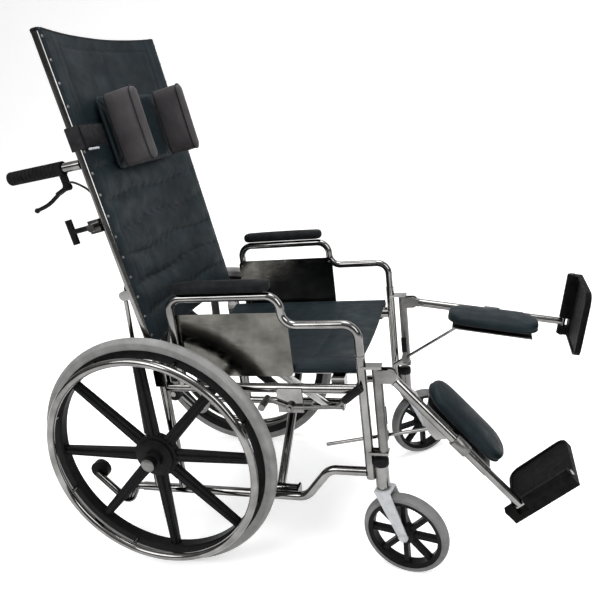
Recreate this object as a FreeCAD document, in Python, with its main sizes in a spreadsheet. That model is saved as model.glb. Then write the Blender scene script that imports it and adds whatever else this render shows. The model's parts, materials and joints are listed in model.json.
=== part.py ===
import FreeCAD, Part
import math
import os
from FreeCAD import Placement, Rotation, Vector

# A reclining wheelchair with a folding frame, in millimetres.
# X runs ahead, Y to the sitter's left and Z up.
# Lengths ahead are counted from the rear axle, and axle_x places that axle in the chair's own frame.

doc = FreeCAD.newDocument("reclining_wheelchair")
dims = doc.addObject("Spreadsheet::Sheet", "dims")

SIZES = (
    ("axle_x", -356.9445, "rear axle, from the middle of the chair"),
    ("frame_tube", 22.2, "outside of a frame tube"),
    ("tube_wall", 1.5, "wall of a frame tube"),
    ("plug_fit", 0.05, "radial clearance of a tube or pin in its bore"),
    ("weld_bite", 2.0, "how far a welded tube's end reaches into its neighbour"),
    ("end_wall", 4.0, "closed end of a tube"),
    ("rail_bend", 40.0, "bend radius of the lower rail"),
    ("side_y", 241.0, "middle of a side frame, from the chair's middle plane"),
    ("lower_rail_z", 175.0, "lower rail"),
    ("front_rail_z", 254.0, "lower rail, in front of its kink"),
    ("rail_rear_x", -90.0, "rear end of the lower rail"),
    ("kink_rear_x", 350.0, "rear end of the kink"),
    ("kink_front_x", 414.0, "front end of the kink"),
    ("upper_rail_z", 464.0, "upper rail"),
    ("post_x", 512.0, "front post"),
    ("post_top_z", 545.0, "top of the front post and of the arm sockets"),
    ("rear_post_x", 25.0, "rear post and recline pivot"),
    ("pivot_z", 505.0, "recline pivot"),
    ("pivot_pin", 10.0, "recline and knee pivot pins"),
    ("knuckle_width", 14.4, "recline and knee knuckles, across"),
    ("knuckle_dia", 26.0, "recline and knee knuckles"),
    ("cheek", 4.0, "thickness of a pivot's cheek plate"),
    ("cheek_gap", 0.4, "side gap between knuckle and cheek"),
    ("stub_x", -45.0, "rear stub post and lower cylinder pivot"),
    ("stub_top_z", 298.0, "top of the rear stub post"),
    ("cylinder_pivot_z", 318.0, "lower pivot of the recline cylinder"),
    ("wheel_dia", 610.0, "rear wheel over its tyre"),
    ("wheel_y", 290.0, "middle of a rear wheel"),
    ("tyre_width", 28.0, "rear tyre"),
    ("tyre_height", 25.0, "rear tyre, tread to seat"),
    ("rim_depth", 22.0, "rear rim, seat to inside"),
    ("spoke_count", 8, "spokes of a rear wheel and of a caster"),
    ("spoke_width", 30.0, "rear spoke, at the hub"),
    ("spoke_depth", 12.0, "rear spoke, along the axle"),
    ("hub_dia", 110.0, "rear hub disc"),
    ("hub_depth", 34.0, "rear hub disc, along the axle"),
    ("hub_nose", 44.0, "outer boss of the rear hub"),
    ("nose_depth", 16.0, "outer boss of the rear hub, along the axle"),
    ("axle_dia", 12.6, "rear axle"),
    ("axle_cap", 32.0, "cap nut of the rear axle"),
    ("cap_depth", 18.0, "cap nut, along the axle"),
    ("end_play", 0.4, "side play of a wheel on its axle"),
    ("hand_rim_in", 40.0, "hand rim, in from the tread to the middle of its tube"),
    ("hand_rim_tube", 19.0, "tube of the hand rim"),
    ("hand_rim_gap", 45.0, "hand rim, from the middle of the wheel"),
    ("caster_dia", 203.0, "caster over its tyre"),
    ("caster_width", 30.0, "caster tyre"),
    ("caster_tyre", 14.0, "caster tyre, tread to seat"),
    ("caster_hub", 46.0, "caster hub"),
    ("caster_trail", 46.0, "caster axle, from its stem"),
    ("caster_stem_x", 538.0, "caster stem"),
    ("stem_dia", 16.0, "caster stem"),
    ("housing_dia", 32.0, "caster housing"),
    ("housing_low_z", 216.0, "bottom of the caster housing"),
    ("housing_top_z", 290.0, "top of the caster housing"),
    ("caster_bolt", 8.0, "caster axle bolt"),
    ("fork_plate", 4.0, "caster fork plate"),
    ("right_swivel", -12.0, "right caster, turned from straight ahead"),
    ("left_swivel", 37.0, "left caster, turned from straight ahead"),
    ("brace_x", 275.0, "front face tube of the cross brace"),
    ("brace_pitch", 25.0, "from one cross tube to the other"),
    ("brace_pivot_y", 212.0, "lower pivot of the cross brace"),
    ("brace_sleeve", 90.0, "lower hinge sleeve of a cross tube"),
    ("brace_rod", 14.0, "hinge rod of the cross brace"),
    ("seat_rail_y", 207.0, "seat rail"),
    ("seat_rail_z", 497.0, "seat rail"),
    ("seat_rear_x", 50.0, "rear end of a seat rail"),
    ("seat_front_x", 500.0, "front end of a seat rail"),
    ("seat_sag", 16.0, "sag of the seat sling"),
    ("seat_cloth", 8.0, "thickness of the seat sling at a seam"),
    ("seat_crown", 3.0, "rise of a seat channel"),
    ("seat_channels", 4, "channels of the seat sling"),
    ("recline_rest", 9.6, "lean of the back at rest"),
    ("cane_length", 789.0, "back cane, from its pivot"),
    ("cylinder_back", 21.5, "upper cylinder pivot, behind the cane"),
    ("cylinder_dia", 24.0, "recline cylinder"),
    ("cylinder_length", 205.0, "recline cylinder, from its pivot"),
    ("cylinder_rod", 10.0, "rod of the recline cylinder"),
    ("cylinder_eye", 18.0, "end eyes of cylinder and rod"),
    ("cylinder_pin", 8.0, "pins of the cylinder, the wheel lock and the rod clamp"),
    ("eye_width", 8.0, "end eyes, across"),
    ("rod_reach", 210.0, "rod of the recline cylinder, from its pivot"),
    ("handle_up", 505.0, "push handle, along the cane"),
    ("handle_length", 200.0, "push handle, from the cane"),
    ("handle_tilt", 4.5, "push handle, up from square to the cane"),
    ("grip_dia", 31.0, "hand grip"),
    ("grip_length", 130.0, "hand grip"),
    ("grip_ribs", 12, "rings of the hand grip"),
    ("clamp_width", 16.0, "release lever clamp, along the handle"),
    ("clamp_in", 56.0, "release lever clamp, from the cane"),
    ("lever_drop", 42.0, "release lever pivot, below the handle"),
    ("lever_reach", 106.0, "release lever blade"),
    ("lever_slope", 17.0, "release lever, down from the handle"),
    ("lever_thick", 6.0, "release lever blade"),
    ("cable_dia", 5.0, "release cable"),
    ("spreader_up", 369.0, "spreader bar, along the cane"),
    ("spreader_back", 24.0, "spreader bar, behind the cane"),
    ("spreader_dia", 19.0, "spreader bar"),
    ("spreader_clamp", 30.0, "spreader clamp, across"),
    ("knob_reach", 95.0, "T knob, from the cane"),
    ("knob_bar", 58.0, "bar of the T knob"),
    ("back_low", 70.0, "bottom of the back sling, along the cane"),
    ("back_sag", 20.0, "sag of the back sling"),
    ("back_cloth", 3.0, "thickness of the back sling at a seam"),
    ("back_crown", 3.5, "rise of a back channel"),
    ("back_channels", 7, "channels of the back sling"),
    ("cloth_gap", 0.3, "soft goods, from what carries them"),
    ("head_low", 470.0, "bottom of the head wings, along the cane"),
    ("wing_height", 178.0, "head wing"),
    ("wing_depth", 92.0, "head wing, forward"),
    ("wing_thick", 44.0, "head wing, across"),
    ("wing_y", 118.0, "head wing, from the middle plane"),
    ("head_pad", 14.0, "thickness of the head pad"),
    ("strap_height", 50.0, "head strap"),
    ("strap_thick", 2.5, "head strap"),
    ("arm_tube", 19.1, "arm, foot and anti tip tubes"),
    ("arm_bend", 32.0, "bend radius of the arm frame"),
    ("arm_rear_x", 78.0, "rear leg of the arm"),
    ("arm_front_x", 345.0, "front upright of the arm"),
    ("arm_z", 685.0, "arm tube under the pad"),
    ("arm_step_z", 616.0, "lower step of the arm"),
    ("arm_in_socket", 96.0, "arm legs, in their sockets"),
    ("arm_pad_length", 242.0, "arm pad"),
    ("arm_pad_width", 48.0, "arm pad"),
    ("arm_pad_height", 30.0, "arm pad"),
    ("panel_low_z", 488.0, "bottom of the skirt panel"),
    ("panel_top_z", 642.0, "top of the skirt panel"),
    ("panel_thick", 1.6, "skirt panel"),
    ("panel_corner", 14.0, "corner radius of the skirt panel"),
    ("hanger_x", 546.0, "swing axis of the leg rest"),
    ("hanger_low_z", 311.4, "bottom of the hanger"),
    ("hanger_top_z", 515.6, "top of the hanger"),
    ("hinge_pin", 12.0, "swing hinge pin"),
    ("hinge_lug", 6.0, "thickness of a hinge lug"),
    ("knee_x", 573.0, "knee pivot"),
    ("knee_z", 498.0, "knee pivot"),
    ("right_leg", 49.5, "right leg rest, down from level"),
    ("left_leg", 9.5, "left leg rest, down from level"),
    ("leg_length", 300.0, "leg tube, from the knee"),
    ("foot_reach", 404.0, "footplate hinge, from the knee"),
    ("foot_inside", 120.0, "foot tube, inside the leg tube"),
    ("foot_rod", 12.0, "footplate hinge rod"),
    ("heel", 34.0, "footplate, below the leg"),
    ("toe", 132.0, "footplate, above the leg"),
    ("footplate_width", 164.0, "footplate, inboard of its hinge"),
    ("footplate_thick", 14.0, "footplate"),
    ("barrel_dia", 24.0, "footplate hinge barrel"),
    ("calf_start", 95.0, "calf pad, from the knee"),
    ("calf_length", 245.0, "calf pad"),
    ("calf_width", 126.0, "calf pad"),
    ("calf_thick", 42.0, "calf pad"),
    ("calf_in", 20.0, "calf pad, inboard of the leg"),
    ("calf_plate", 3.0, "calf pad's plate"),
    ("collar_dia", 29.0, "calf pad's collar on the leg"),
    ("collar_width", 40.0, "calf pad's collar, along the leg"),
    ("lift_radius", 165.0, "elevating rod's two pivots, from the knee"),
    ("lift_back", 9.4, "hanger's rod pivot, back from plumb"),
    ("lift_drop", 20.0, "leg's rod pivot, below the leg"),
    ("lift_in", 25.0, "elevating rod, inboard of the leg"),
    ("lift_rod", 8.0, "elevating rod"),
    ("lift_length", 262.0, "elevating rod"),
    ("lock_x", 345.0, "wheel lock pivot"),
    ("lock_z", 425.0, "wheel lock pivot"),
    ("lock_bar", 10.0, "wheel lock lever"),
    ("lock_shoe", 16.0, "wheel lock shoe"),
    ("shoe_back", 52.0, "wheel lock shoe, behind its pivot"),
    ("shoe_up", 21.0, "wheel lock shoe, above its pivot"),
    ("lock_run", 107.0, "bend of the wheel lock lever, ahead of its pivot"),
    ("lock_rise", 4.0, "bend of the wheel lock lever, above its pivot"),
    ("lock_reach", 160.0, "tip of the wheel lock lever, ahead of its pivot"),
    ("lock_lift", 47.0, "tip of the wheel lock lever, above its pivot"),
    ("tip_inside", -30.0, "front end of an anti tip tube, from the rear axle"),
    ("tip_bend", -112.0, "first bend of an anti tip tube, from the rear axle"),
    ("tip_dip", -146.0, "lowest bend of an anti tip tube, from the rear axle"),
    ("tip_low_z", 118.0, "lowest bend of an anti tip tube"),
    ("tip_radius", 20.0, "bend radius of an anti tip tube"),
    ("roller_x", -226.0, "anti tip roller, from the rear axle"),
    ("roller_z", 205.0, "anti tip roller"),
    ("roller_dia", 50.0, "anti tip roller"),
    ("roller_width", 18.0, "anti tip roller"),
)
for row, (alias, value, meaning) in enumerate(SIZES, start=1):
    dims.set(f"A{row}", meaning)
    dims.set(f"B{row}", str(value))
    dims.setAlias(f"B{row}", alias)
doc.recompute()


class Sizes:
    """The sheet's values by their aliases."""


D = Sizes()
for alias, value, meaning in SIZES:
    setattr(D, alias, float(dims.get(alias)))

SIDES = (("right", -1), ("left", 1))
AHEAD, ACROSS, UP = Vector(1, 0, 0), Vector(0, 1, 0), Vector(0, 0, 1)
NODES = []


# Shared shapes

def at(x, y, z):
    """A point of the chair, with x counted from the rear axle."""
    return Vector(D.axle_x + x, y, z)


def keep(thing, name):
    """Name a finished sub-part and put it on the list of files."""
    thing.Label = name
    NODES.append(thing)
    return thing


def shaped(name, shape, placement=None):
    """A sub-part whose shape is worked out from the sheet's values."""
    thing = doc.addObject("Part::Feature", name)
    thing.Shape = shape
    if placement:
        thing.Placement = placement
    return keep(thing, name)


def one_solid(shape):
    solids = shape.removeSplitter().Solids
    if len(solids) != 1:
        raise ValueError(f"{len(solids)} solids where one was meant")
    return solids[0]


def block(p, q):
    """A box between two opposite corners."""
    low = Vector(min(p.x, q.x), min(p.y, q.y), min(p.z, q.z))
    return Part.makeBox(abs(p.x - q.x), abs(p.y - q.y), abs(p.z - q.z), low)


def bar(start, end, diameter):
    """A round bar between two points."""
    run = end - start
    return Part.makeCylinder(diameter / 2, run.Length, start, run)


def rounded_path(points, bend):
    """Straight runs joined by tangent arcs of one bend radius."""
    edges = []
    start = points[0]
    for before, corner, after in zip(points, points[1:], points[2:]):
        back = (before - corner).normalize()
        ahead = (after - corner).normalize()
        half = back.getAngle(ahead) / 2
        trim = bend / math.tan(half)
        middle = corner + (back + ahead).normalize() * (bend / math.sin(half) - bend)
        leave, join = corner + back * trim, corner + ahead * trim
        edges.append(Part.LineSegment(start, leave).toShape())
        edges.append(Part.Arc(leave, middle, join).toShape())
        start = join
    edges.append(Part.LineSegment(start, points[-1]).toShape())
    return Part.Wire(edges)


def pipe(points, diameter, bend):
    """A round bar along a bent path."""
    circle = Part.Wire(Part.makeCircle(diameter / 2, points[0], points[1] - points[0]))
    return rounded_path(points, bend).makePipeShell([circle], True, False)


def moved_ends(points, first, last):
    """The path with its ends drawn in, or put out where the amount is negative."""
    head = points[0] + (points[1] - points[0]).normalize() * first
    tail = points[-1] + (points[-2] - points[-1]).normalize() * last
    return [head] + list(points[1:-1]) + [tail]


class Weldment:
    """Tubes, plates and pins welded into one piece, with the bores of its tubes left hollow."""

    def __init__(self):
        self.solids = []
        self.bores = []

    def tube(self, points, diameter, bend=1.0, open_first=False, open_last=False):
        self.solids.append(pipe(points, diameter, bend))
        first = -1.0 if open_first else D.end_wall
        last = -1.0 if open_last else D.end_wall
        self.bores.append(pipe(moved_ends(points, first, last), diameter - 2 * D.tube_wall, bend))

    def add(self, *solids):
        self.solids.extend(solids)

    def bore(self, *solids):
        self.bores.extend(solids)

    def shape(self):
        whole = self.solids[0].multiFuse(self.solids[1:])
        return one_solid(whole.cut(self.bores) if self.bores else whole)


def pivot_cheeks(centre, radius, root, gap, thick, pin):
    """Two cheek plates from a root point to a pivot, with the pin across them."""
    solids = []
    for turn in (-1, 1):
        inner = ACROSS * (turn * gap)
        solids.append(Part.makeCylinder(radius, thick, centre + inner, ACROSS * turn))
        low = root + inner - AHEAD * radius
        high = Vector(centre.x + radius, centre.y + turn * (gap + thick), centre.z)
        solids.append(block(low, high))
    reach = ACROSS * (gap + thick)
    solids.append(bar(centre - reach, centre + reach, pin))
    return solids


def cushion_outline(length, width, corner, pinch, z):
    """A rounded rectangle about the origin whose sides are drawn in between its corners."""
    a, b = length / 2, width / 2
    k = corner * (1 - math.sqrt(0.5))
    edges = []
    corners = ((a, b, 1, 1), (-a, b, -1, 1), (-a, -b, -1, -1), (a, -b, 1, -1))
    ends = []
    for x, y, sx, sy in corners:
        one = Vector(x, y - sy * corner, z)
        other = Vector(x - sx * corner, y, z)
        middle = Vector(x - sx * k, y - sy * k, z)
        ends.append((one, middle, other) if sx == sy else (other, middle, one))
    for this, following in zip(ends, ends[1:] + ends[:1]):
        edges.append(Part.Arc(*this).toShape())
        half = (this[2] + following[0]) * 0.5
        inward = Vector(-half.x, -half.y, 0).normalize() * pinch
        edges.append(Part.Arc(this[2], half + inward, following[0]).toShape())
    return Part.Wire(edges)


def cushion(length, width, thick, corner, pinch):
    """A stuffed pad on its flat base: a short waist, full sides and a crowned face."""
    rise = ((0.0, 0.94), (0.3, 1.0), (0.72, 0.97), (1.0, 0.72))
    rings = []
    for height, share in rise:
        slim = (1 - share) * width
        rings.append(cushion_outline(length - slim, width - slim, corner * share, pinch, height * thick))
    return Part.makeLoft(rings, True, False).Solids[0]


def plane_of(body, role):
    return next(feature for feature in body.Origin.OriginFeatures if feature.Role == role)


def sketch_of(body, name, role, edges, lift=0.0):
    """A sketch on one of its body's own planes, from a closed run of edges."""
    sketch = body.newObject("Sketcher::SketchObject", name)
    sketch.AttachmentSupport = [(plane_of(body, role), "")]
    sketch.MapMode = "FlatFace"
    sketch.AttachmentOffset = Placement(Vector(0, 0, lift), Rotation())
    sketch.addGeometry(edges, False)
    return sketch


def closed(points):
    """Straight edges round a closed outline given in a sketch's own two directions."""
    vectors = [Vector(x, y, 0) for x, y in points]
    return [Part.LineSegment(p, q) for p, q in zip(vectors, vectors[1:] + vectors[:1])]


def turned(body, name, points):
    """Turn a closed outline of radius and height about its body's own Z axis."""
    profile = sketch_of(body, name + "_profile", "XZ_Plane", closed(points))
    feature = body.newObject("PartDesign::Revolution", name)
    feature.Profile = profile
    feature.ReferenceAxis = (profile, ["V_Axis"])
    feature.Angle = 360.0
    return feature


def padded(body, name, edges, length, lift=0.0):
    """Raise a closed outline from its body's XY plane. The length is a formula of the sheet."""
    feature = body.newObject("PartDesign::Pad", name)
    feature.Profile = sketch_of(body, name + "_outline", "XY_Plane", edges, lift)
    feature.setExpression("Length", length)
    return feature


def primitive(kind, name, placement, **formulas):
    """A plain solid whose sizes are formulas of the sheet."""
    thing = doc.addObject("Part::" + kind, name)
    for size, formula in formulas.items():
        thing.setExpression(size, formula)
    thing.Placement = placement
    return thing


def joined(name, solids, tools=()):
    """Plain solids fused into one, less the tools cut from it."""
    whole = doc.addObject("Part::MultiFuse", name + "_whole")
    whole.Shapes = list(solids)
    for step, tool in enumerate(tools):
        cut = doc.addObject("Part::Cut", f"{name}_cut_{step}")
        cut.Base = whole
        cut.Tool = tool
        whole = cut
    return whole


# Places that several pieces share

TUBE = D.frame_tube / 2
TUBE_BORE = D.frame_tube - 2 * D.tube_wall
KNUCKLE_GAP = D.knuckle_width / 2 + D.cheek_gap
EYE_GAP = D.eye_width / 2 + D.cheek_gap
CHEEK = (D.knuckle_dia + D.cheek) / 2
ROOT_IN = TUBE - D.weld_bite
AXLE_Z = D.wheel_dia / 2
HUB_OUT = D.wheel_y + D.hub_depth / 2 + D.nose_depth
HUB_IN = D.wheel_y - D.hub_depth / 2
BRACE_SLOPE = (D.seat_rail_z - D.lower_rail_z) / (D.seat_rail_y + D.brace_pivot_y)
BRACE_CENTRE_Z = D.lower_rail_z + BRACE_SLOPE * D.brace_pivot_y
BRACE_X = {-1: D.brace_x, 1: D.brace_x + D.brace_pitch}
RECLINE_REACH = math.hypot(D.rear_post_x - D.stub_x, D.pivot_z - D.cylinder_pivot_z)
CYLINDER_UP = math.sqrt(RECLINE_REACH ** 2 - D.cylinder_back ** 2)
LEG_ANGLE = {-1: D.right_leg, 1: D.left_leg}
LEAN = Rotation(ACROSS, -D.recline_rest)


def pivot(side):
    return at(D.rear_post_x, side * D.side_y, D.pivot_z)


def cylinder_pivot(side):
    return at(D.stub_x, side * D.side_y, D.cylinder_pivot_z)


def on_cane(side, back, along, y=0.0):
    """A point at rest given behind and along a cane, with y counted inboard from it."""
    return pivot(side) + LEAN.multVec(Vector(-back, -side * y, along))


def back_place():
    """The back's own frame: the middle of the recline axis, leaned back."""
    return Placement(at(D.rear_post_x, 0, D.pivot_z), LEAN)


def knee(side):
    return at(D.knee_x, side * D.side_y, D.knee_z)


def leg_place(side):
    """A leg rest's own frame: X down the leg from the knee, Z out of its face."""
    return Placement(knee(side), Rotation(ACROSS, LEG_ANGLE[side]))


def lift_foot(side):
    """The elevating rod's pivot on the hanger, as far from the knee as its pivot on the leg."""
    lean = math.radians(D.lift_back)
    y = side * (D.side_y - D.lift_in)
    return at(D.knee_x - D.lift_radius * math.sin(lean), y, D.knee_z - D.lift_radius * math.cos(lean))


def lift_head(side):
    """The elevating rod's pivot on the leg, at rest."""
    along = math.sqrt(D.lift_radius ** 2 - D.lift_drop ** 2)
    return leg_place(side).multVec(Vector(along, -side * D.lift_in, -D.lift_drop))


# Side frames

def side_frame(side):
    frame = Weldment()
    y = side * D.side_y
    rail_top = D.lower_rail_z + ROOT_IN
    rail = [at(D.rail_rear_x, y, D.lower_rail_z), at(D.kink_rear_x, y, D.lower_rail_z),
            at(D.kink_front_x, y, D.front_rail_z), at(D.post_x - ROOT_IN, y, D.front_rail_z)]
    frame.tube(rail, D.frame_tube, D.rail_bend, open_first=True)
    post = [at(D.post_x, y, D.front_rail_z - TUBE - D.end_wall), at(D.post_x, y, D.post_top_z)]
    frame.tube(post, D.frame_tube, open_last=True)
    upper = [at(D.rear_post_x + ROOT_IN, y, D.upper_rail_z), at(D.post_x - ROOT_IN, y, D.upper_rail_z)]
    frame.tube(upper, D.frame_tube)
    rear_top = D.pivot_z - D.knuckle_dia
    frame.tube([at(D.rear_post_x, y, rail_top), at(D.rear_post_x, y, rear_top)], D.frame_tube)
    frame.tube([at(D.stub_x, y, rail_top), at(D.stub_x, y, D.stub_top_z)], D.frame_tube)
    socket = [at(D.arm_rear_x, y, D.upper_rail_z + ROOT_IN), at(D.arm_rear_x, y, D.post_top_z)]
    frame.tube(socket, D.frame_tube, open_last=True)
    # recline pivot and lower cylinder pivot
    root = at(D.rear_post_x, y, rear_top - TUBE)
    frame.add(*pivot_cheeks(pivot(side), CHEEK, root, KNUCKLE_GAP, D.cheek, D.pivot_pin))
    root = at(D.stub_x, y, D.stub_top_z - TUBE)
    frame.add(*pivot_cheeks(cylinder_pivot(side), TUBE, root, EYE_GAP, D.cheek, D.cylinder_pin))
    # axle plate between the rear posts, with its boss, the axle and the cap nut
    boss = D.axle_cap - 2.0
    low = at(D.stub_x + ROOT_IN, y - D.cheek, AXLE_Z - boss)
    frame.add(block(low, at(D.rear_post_x - ROOT_IN, y + D.cheek, AXLE_Z - 1)))
    hub_in, hub_out = HUB_IN - D.end_play, HUB_OUT + D.end_play
    frame.add(bar(at(0, side * (D.side_y - boss / 2), AXLE_Z), at(0, side * hub_in, AXLE_Z), boss))
    frame.add(bar(at(0, side * hub_in, AXLE_Z), at(0, side * hub_out, AXLE_Z), D.axle_dia))
    frame.add(bar(at(0, side * hub_out, AXLE_Z), at(0, side * (hub_out + D.cap_depth), AXLE_Z), D.axle_cap))
    # caster housing
    stem = D.caster_stem_x
    frame.add(bar(at(stem, y, D.housing_low_z), at(stem, y, D.housing_top_z), D.housing_dia))
    bore_top = at(stem, y, D.housing_top_z - D.end_wall)
    frame.bore(bar(at(stem, y, D.housing_low_z - 1), bore_top, D.stem_dia + 2 * D.plug_fit))
    # hinge lugs and pins of the leg rest
    gap = 0.4
    pin_in = 2 * D.hinge_pin
    for z, turn in ((D.hanger_low_z - gap, -1), (D.hanger_top_z + gap, 1)):
        low = at(D.post_x, y - D.hinge_pin, z)
        frame.add(block(low, at(D.hanger_x + D.hinge_pin, y + D.hinge_pin, z + turn * D.hinge_lug)))
        frame.add(bar(at(D.hanger_x, y, z), at(D.hanger_x, y, z - turn * pin_in), D.hinge_pin))
    # lower hinge rod of the cross brace on its two lugs
    x, half = BRACE_X[side], D.brace_sleeve / 2 + D.end_play
    pivot_y = side * D.brace_pivot_y
    reach = half + D.hinge_lug
    rod_ends = [at(x + turn * reach, pivot_y, D.lower_rail_z) for turn in (-1, 1)]
    frame.add(bar(*rod_ends, D.brace_rod))
    for turn in (-1, 1):
        low = at(x + turn * half, pivot_y - side * TUBE, D.lower_rail_z - TUBE + 1)
        high = at(x + turn * reach, y - side * ROOT_IN, D.lower_rail_z + TUBE - 1)
        frame.add(block(low, high))
    # saddles under the seat rail
    saddle = 30.0
    inner = side * (D.seat_rail_y - TUBE / 2)
    for x in (D.seat_rear_x + 2 * saddle, D.seat_front_x - 2 * saddle):
        top = D.seat_rail_z - TUBE - D.cloth_gap
        frame.add(block(at(x, inner, D.upper_rail_z - 4), at(x + saddle, y - side * ROOT_IN, top)))
    # wheel lock plate on the upper rail, with its pivot pin
    plate_y = side * (D.side_y + ROOT_IN)
    plate_out = side * (D.side_y + TUBE + D.cheek)
    low = at(D.lock_x - saddle, plate_y, D.lock_z - saddle / 2)
    frame.add(block(low, at(D.lock_x + saddle, plate_out, D.upper_rail_z + TUBE / 2)))
    pin_out = plate_out + side * (D.lock_bar + 2 * D.cheek_gap + D.cheek)
    frame.add(bar(at(D.lock_x, plate_y, D.lock_z), at(D.lock_x, pin_out, D.lock_z), D.cylinder_pin))
    return frame.shape()


for name, side in SIDES:
    shaped(f"{name}_side_frame", side_frame(side))


# Cross brace: each tube runs from a hinge sleeve on one side to the seat rail of the other side

def cross_brace(side):
    brace = Weldment()
    x = BRACE_X[side]
    half = D.brace_sleeve / 2
    low = at(x, side * D.brace_pivot_y, D.lower_rail_z)
    high = at(x, -side * D.seat_rail_y, D.seat_rail_z)
    run = (high - low).normalize()
    brace.tube([low + run * ROOT_IN, high - run * ROOT_IN], D.frame_tube)
    brace.add(bar(low - AHEAD * half, low + AHEAD * half, D.frame_tube))
    past = AHEAD * reach_past(half)
    brace.bore(bar(low - past, low + past, D.brace_rod + 2 * D.plug_fit))
    rail = [at(D.seat_rear_x, high.y, high.z), at(D.seat_front_x, high.y, high.z)]
    brace.tube(rail, D.frame_tube)
    centre = at(x, 0, BRACE_CENTRE_Z)
    sleeve = D.pivot_pin + 2 * D.cheek
    if side < 0:
        brace.add(bar(centre - AHEAD * TUBE, centre + AHEAD * TUBE, sleeve))
        hole = D.pivot_pin + 2 * D.plug_fit
        brace.bore(bar(centre - AHEAD * reach_past(TUBE), centre + AHEAD * reach_past(TUBE), hole))
    else:
        head = centre - AHEAD * (D.brace_pitch + TUBE + D.cheek_gap)
        brace.add(bar(head, centre, D.pivot_pin))
        brace.add(bar(head - AHEAD * D.cheek, head, sleeve))
    return brace.shape()


def reach_past(length):
    """A cut's half length, a little past the wall that it goes through."""
    return length + 1.0


shaped("cross_brace_front", cross_brace(-1))
shaped("cross_brace_rear", cross_brace(1))


# Slings: a sheet turned about a far axis, so that it sags, with the channels along its length

def sling(half_width, edge, sag, cloth, low, high, channels, crown, lap):
    """A sagging sheet between x = edge at both sides, from low to high, with laps round the two tubes."""
    middle = edge - sag
    radius = (half_width ** 2 + sag ** 2) / (2 * sag)
    pitch = (high - low) / channels
    outline = []
    for step in range(int(channels)):
        z0, z1 = low + step * pitch, low + (step + 1) * pitch
        crest = Vector(middle + cloth / 2 + crown, 0, (z0 + z1) / 2)
        outline.append(Part.Arc(Vector(middle + cloth / 2, 0, z0), crest,
                                Vector(middle + cloth / 2, 0, z1)).toShape())
    rear = Vector(middle - cloth / 2, 0, high), Vector(middle - cloth / 2, 0, low)
    outline.append(Part.LineSegment(Vector(middle + cloth / 2, 0, high), rear[0]).toShape())
    outline.append(Part.LineSegment(*rear).toShape())
    outline.append(Part.LineSegment(rear[1], Vector(middle + cloth / 2, 0, low)).toShape())
    turn = math.degrees(math.asin(half_width / radius))
    axis = Vector(middle + radius, 0, 0)
    face = Part.Face(Part.Wire(outline))
    face.rotate(axis, UP, -turn)
    sheet = face.revolve(axis, UP, 2 * turn).Solids[0]
    laps = []
    for side in (-1, 1):
        inside, outside = edge - cloth / 2, edge + cloth / 2
        ring = Part.makeCylinder(outside, high - low, Vector(0, side * half_width, low))
        ring = ring.cut(Part.makeCylinder(inside, high - low, Vector(0, side * half_width, low)))
        quarter = block(Vector(0, side * half_width, low), Vector(lap, side * (half_width + lap), high))
        laps.append(ring.common(quarter))
    return one_solid(sheet.multiFuse(laps))


cane_face = TUBE + D.cloth_gap + D.back_cloth / 2
back_high = D.cane_length - D.cloth_gap
back_sheet = sling(D.side_y, cane_face, D.back_sag, D.back_cloth, D.back_low, back_high,
                   D.back_channels, D.back_crown, D.frame_tube)
shaped("back_sling", back_sheet, back_place())

# the seat's sheet is turned over: its face up and its length ahead
rail_face = TUBE + D.cloth_gap + D.seat_cloth / 2
seat_sheet = sling(D.seat_rail_y, rail_face, D.seat_sag, D.seat_cloth, D.seat_rear_x, D.seat_front_x,
                   D.seat_channels, D.seat_crown, D.frame_tube)
face_up = FreeCAD.Matrix(0, 0, 1, D.axle_x, 0, 1, 0, 0, 1, 0, 0, D.seat_rail_z, 0, 0, 0, 1)
shaped("seat_sling", seat_sheet.transformGeometry(face_up))


# Back canes with push handles, cylinder lugs and spreader clamps, each in the back's own frame

def handle_point(side, out):
    """A point of a push handle's axis, by its distance from the cane."""
    tilt = math.radians(D.handle_tilt)
    return Vector(-out * math.cos(tilt), side * D.side_y, D.handle_up + out * math.sin(tilt))


def back_cane(side):
    cane = Weldment()
    y = side * D.side_y
    foot = D.knuckle_dia / 2 + D.cheek
    cane.tube([Vector(0, y, foot), Vector(0, y, D.cane_length)], D.frame_tube)
    half = ACROSS * (D.knuckle_width / 2)
    centre = Vector(0, y, 0)
    cane.add(bar(centre - half, centre + half, D.knuckle_dia))
    neck = Vector(TUBE - 1, D.knuckle_width / 2, 0)
    cane.add(block(centre - neck, centre + neck + UP * (foot + D.cheek)))
    cane.bore(bar(centre - half * 2, centre + half * 2, D.pivot_pin + 2 * D.plug_fit))
    cane.tube([handle_point(side, ROOT_IN), handle_point(side, D.handle_length)], D.frame_tube)
    # upper cylinder lug
    eye = Vector(-D.cylinder_back, y, CYLINDER_UP)
    for turn in (-1, 1):
        inner, outer = ACROSS * (turn * EYE_GAP), ACROSS * (turn * (EYE_GAP + D.cheek))
        cane.add(Part.makeCylinder(TUBE, D.cheek, eye + inner, ACROSS * turn))
        low = Vector(eye.x, y, eye.z - TUBE) + inner
        cane.add(block(low, Vector(-TUBE / 2, y, eye.z + TUBE) + outer))
    reach = ACROSS * (EYE_GAP + D.cheek)
    cane.add(bar(eye - reach, eye + reach, D.cylinder_pin))
    # spreader clamp
    grip = D.spreader_clamp / 2
    deep = D.spreader_back + D.spreader_dia / 2 + D.cheek
    cane.add(block(Vector(-deep, y - grip, D.spreader_up - grip),
                   Vector(-ROOT_IN, y + grip, D.spreader_up + grip)))
    hole = D.spreader_dia + 2 * D.plug_fit
    past = ACROSS * (grip + 1)
    axis = Vector(-D.spreader_back, y, D.spreader_up)
    cane.bore(bar(axis - past, axis + past, hole))
    return cane.shape()


for name, side in SIDES:
    shaped(f"{name}_back_cane", back_cane(side), back_place())

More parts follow.
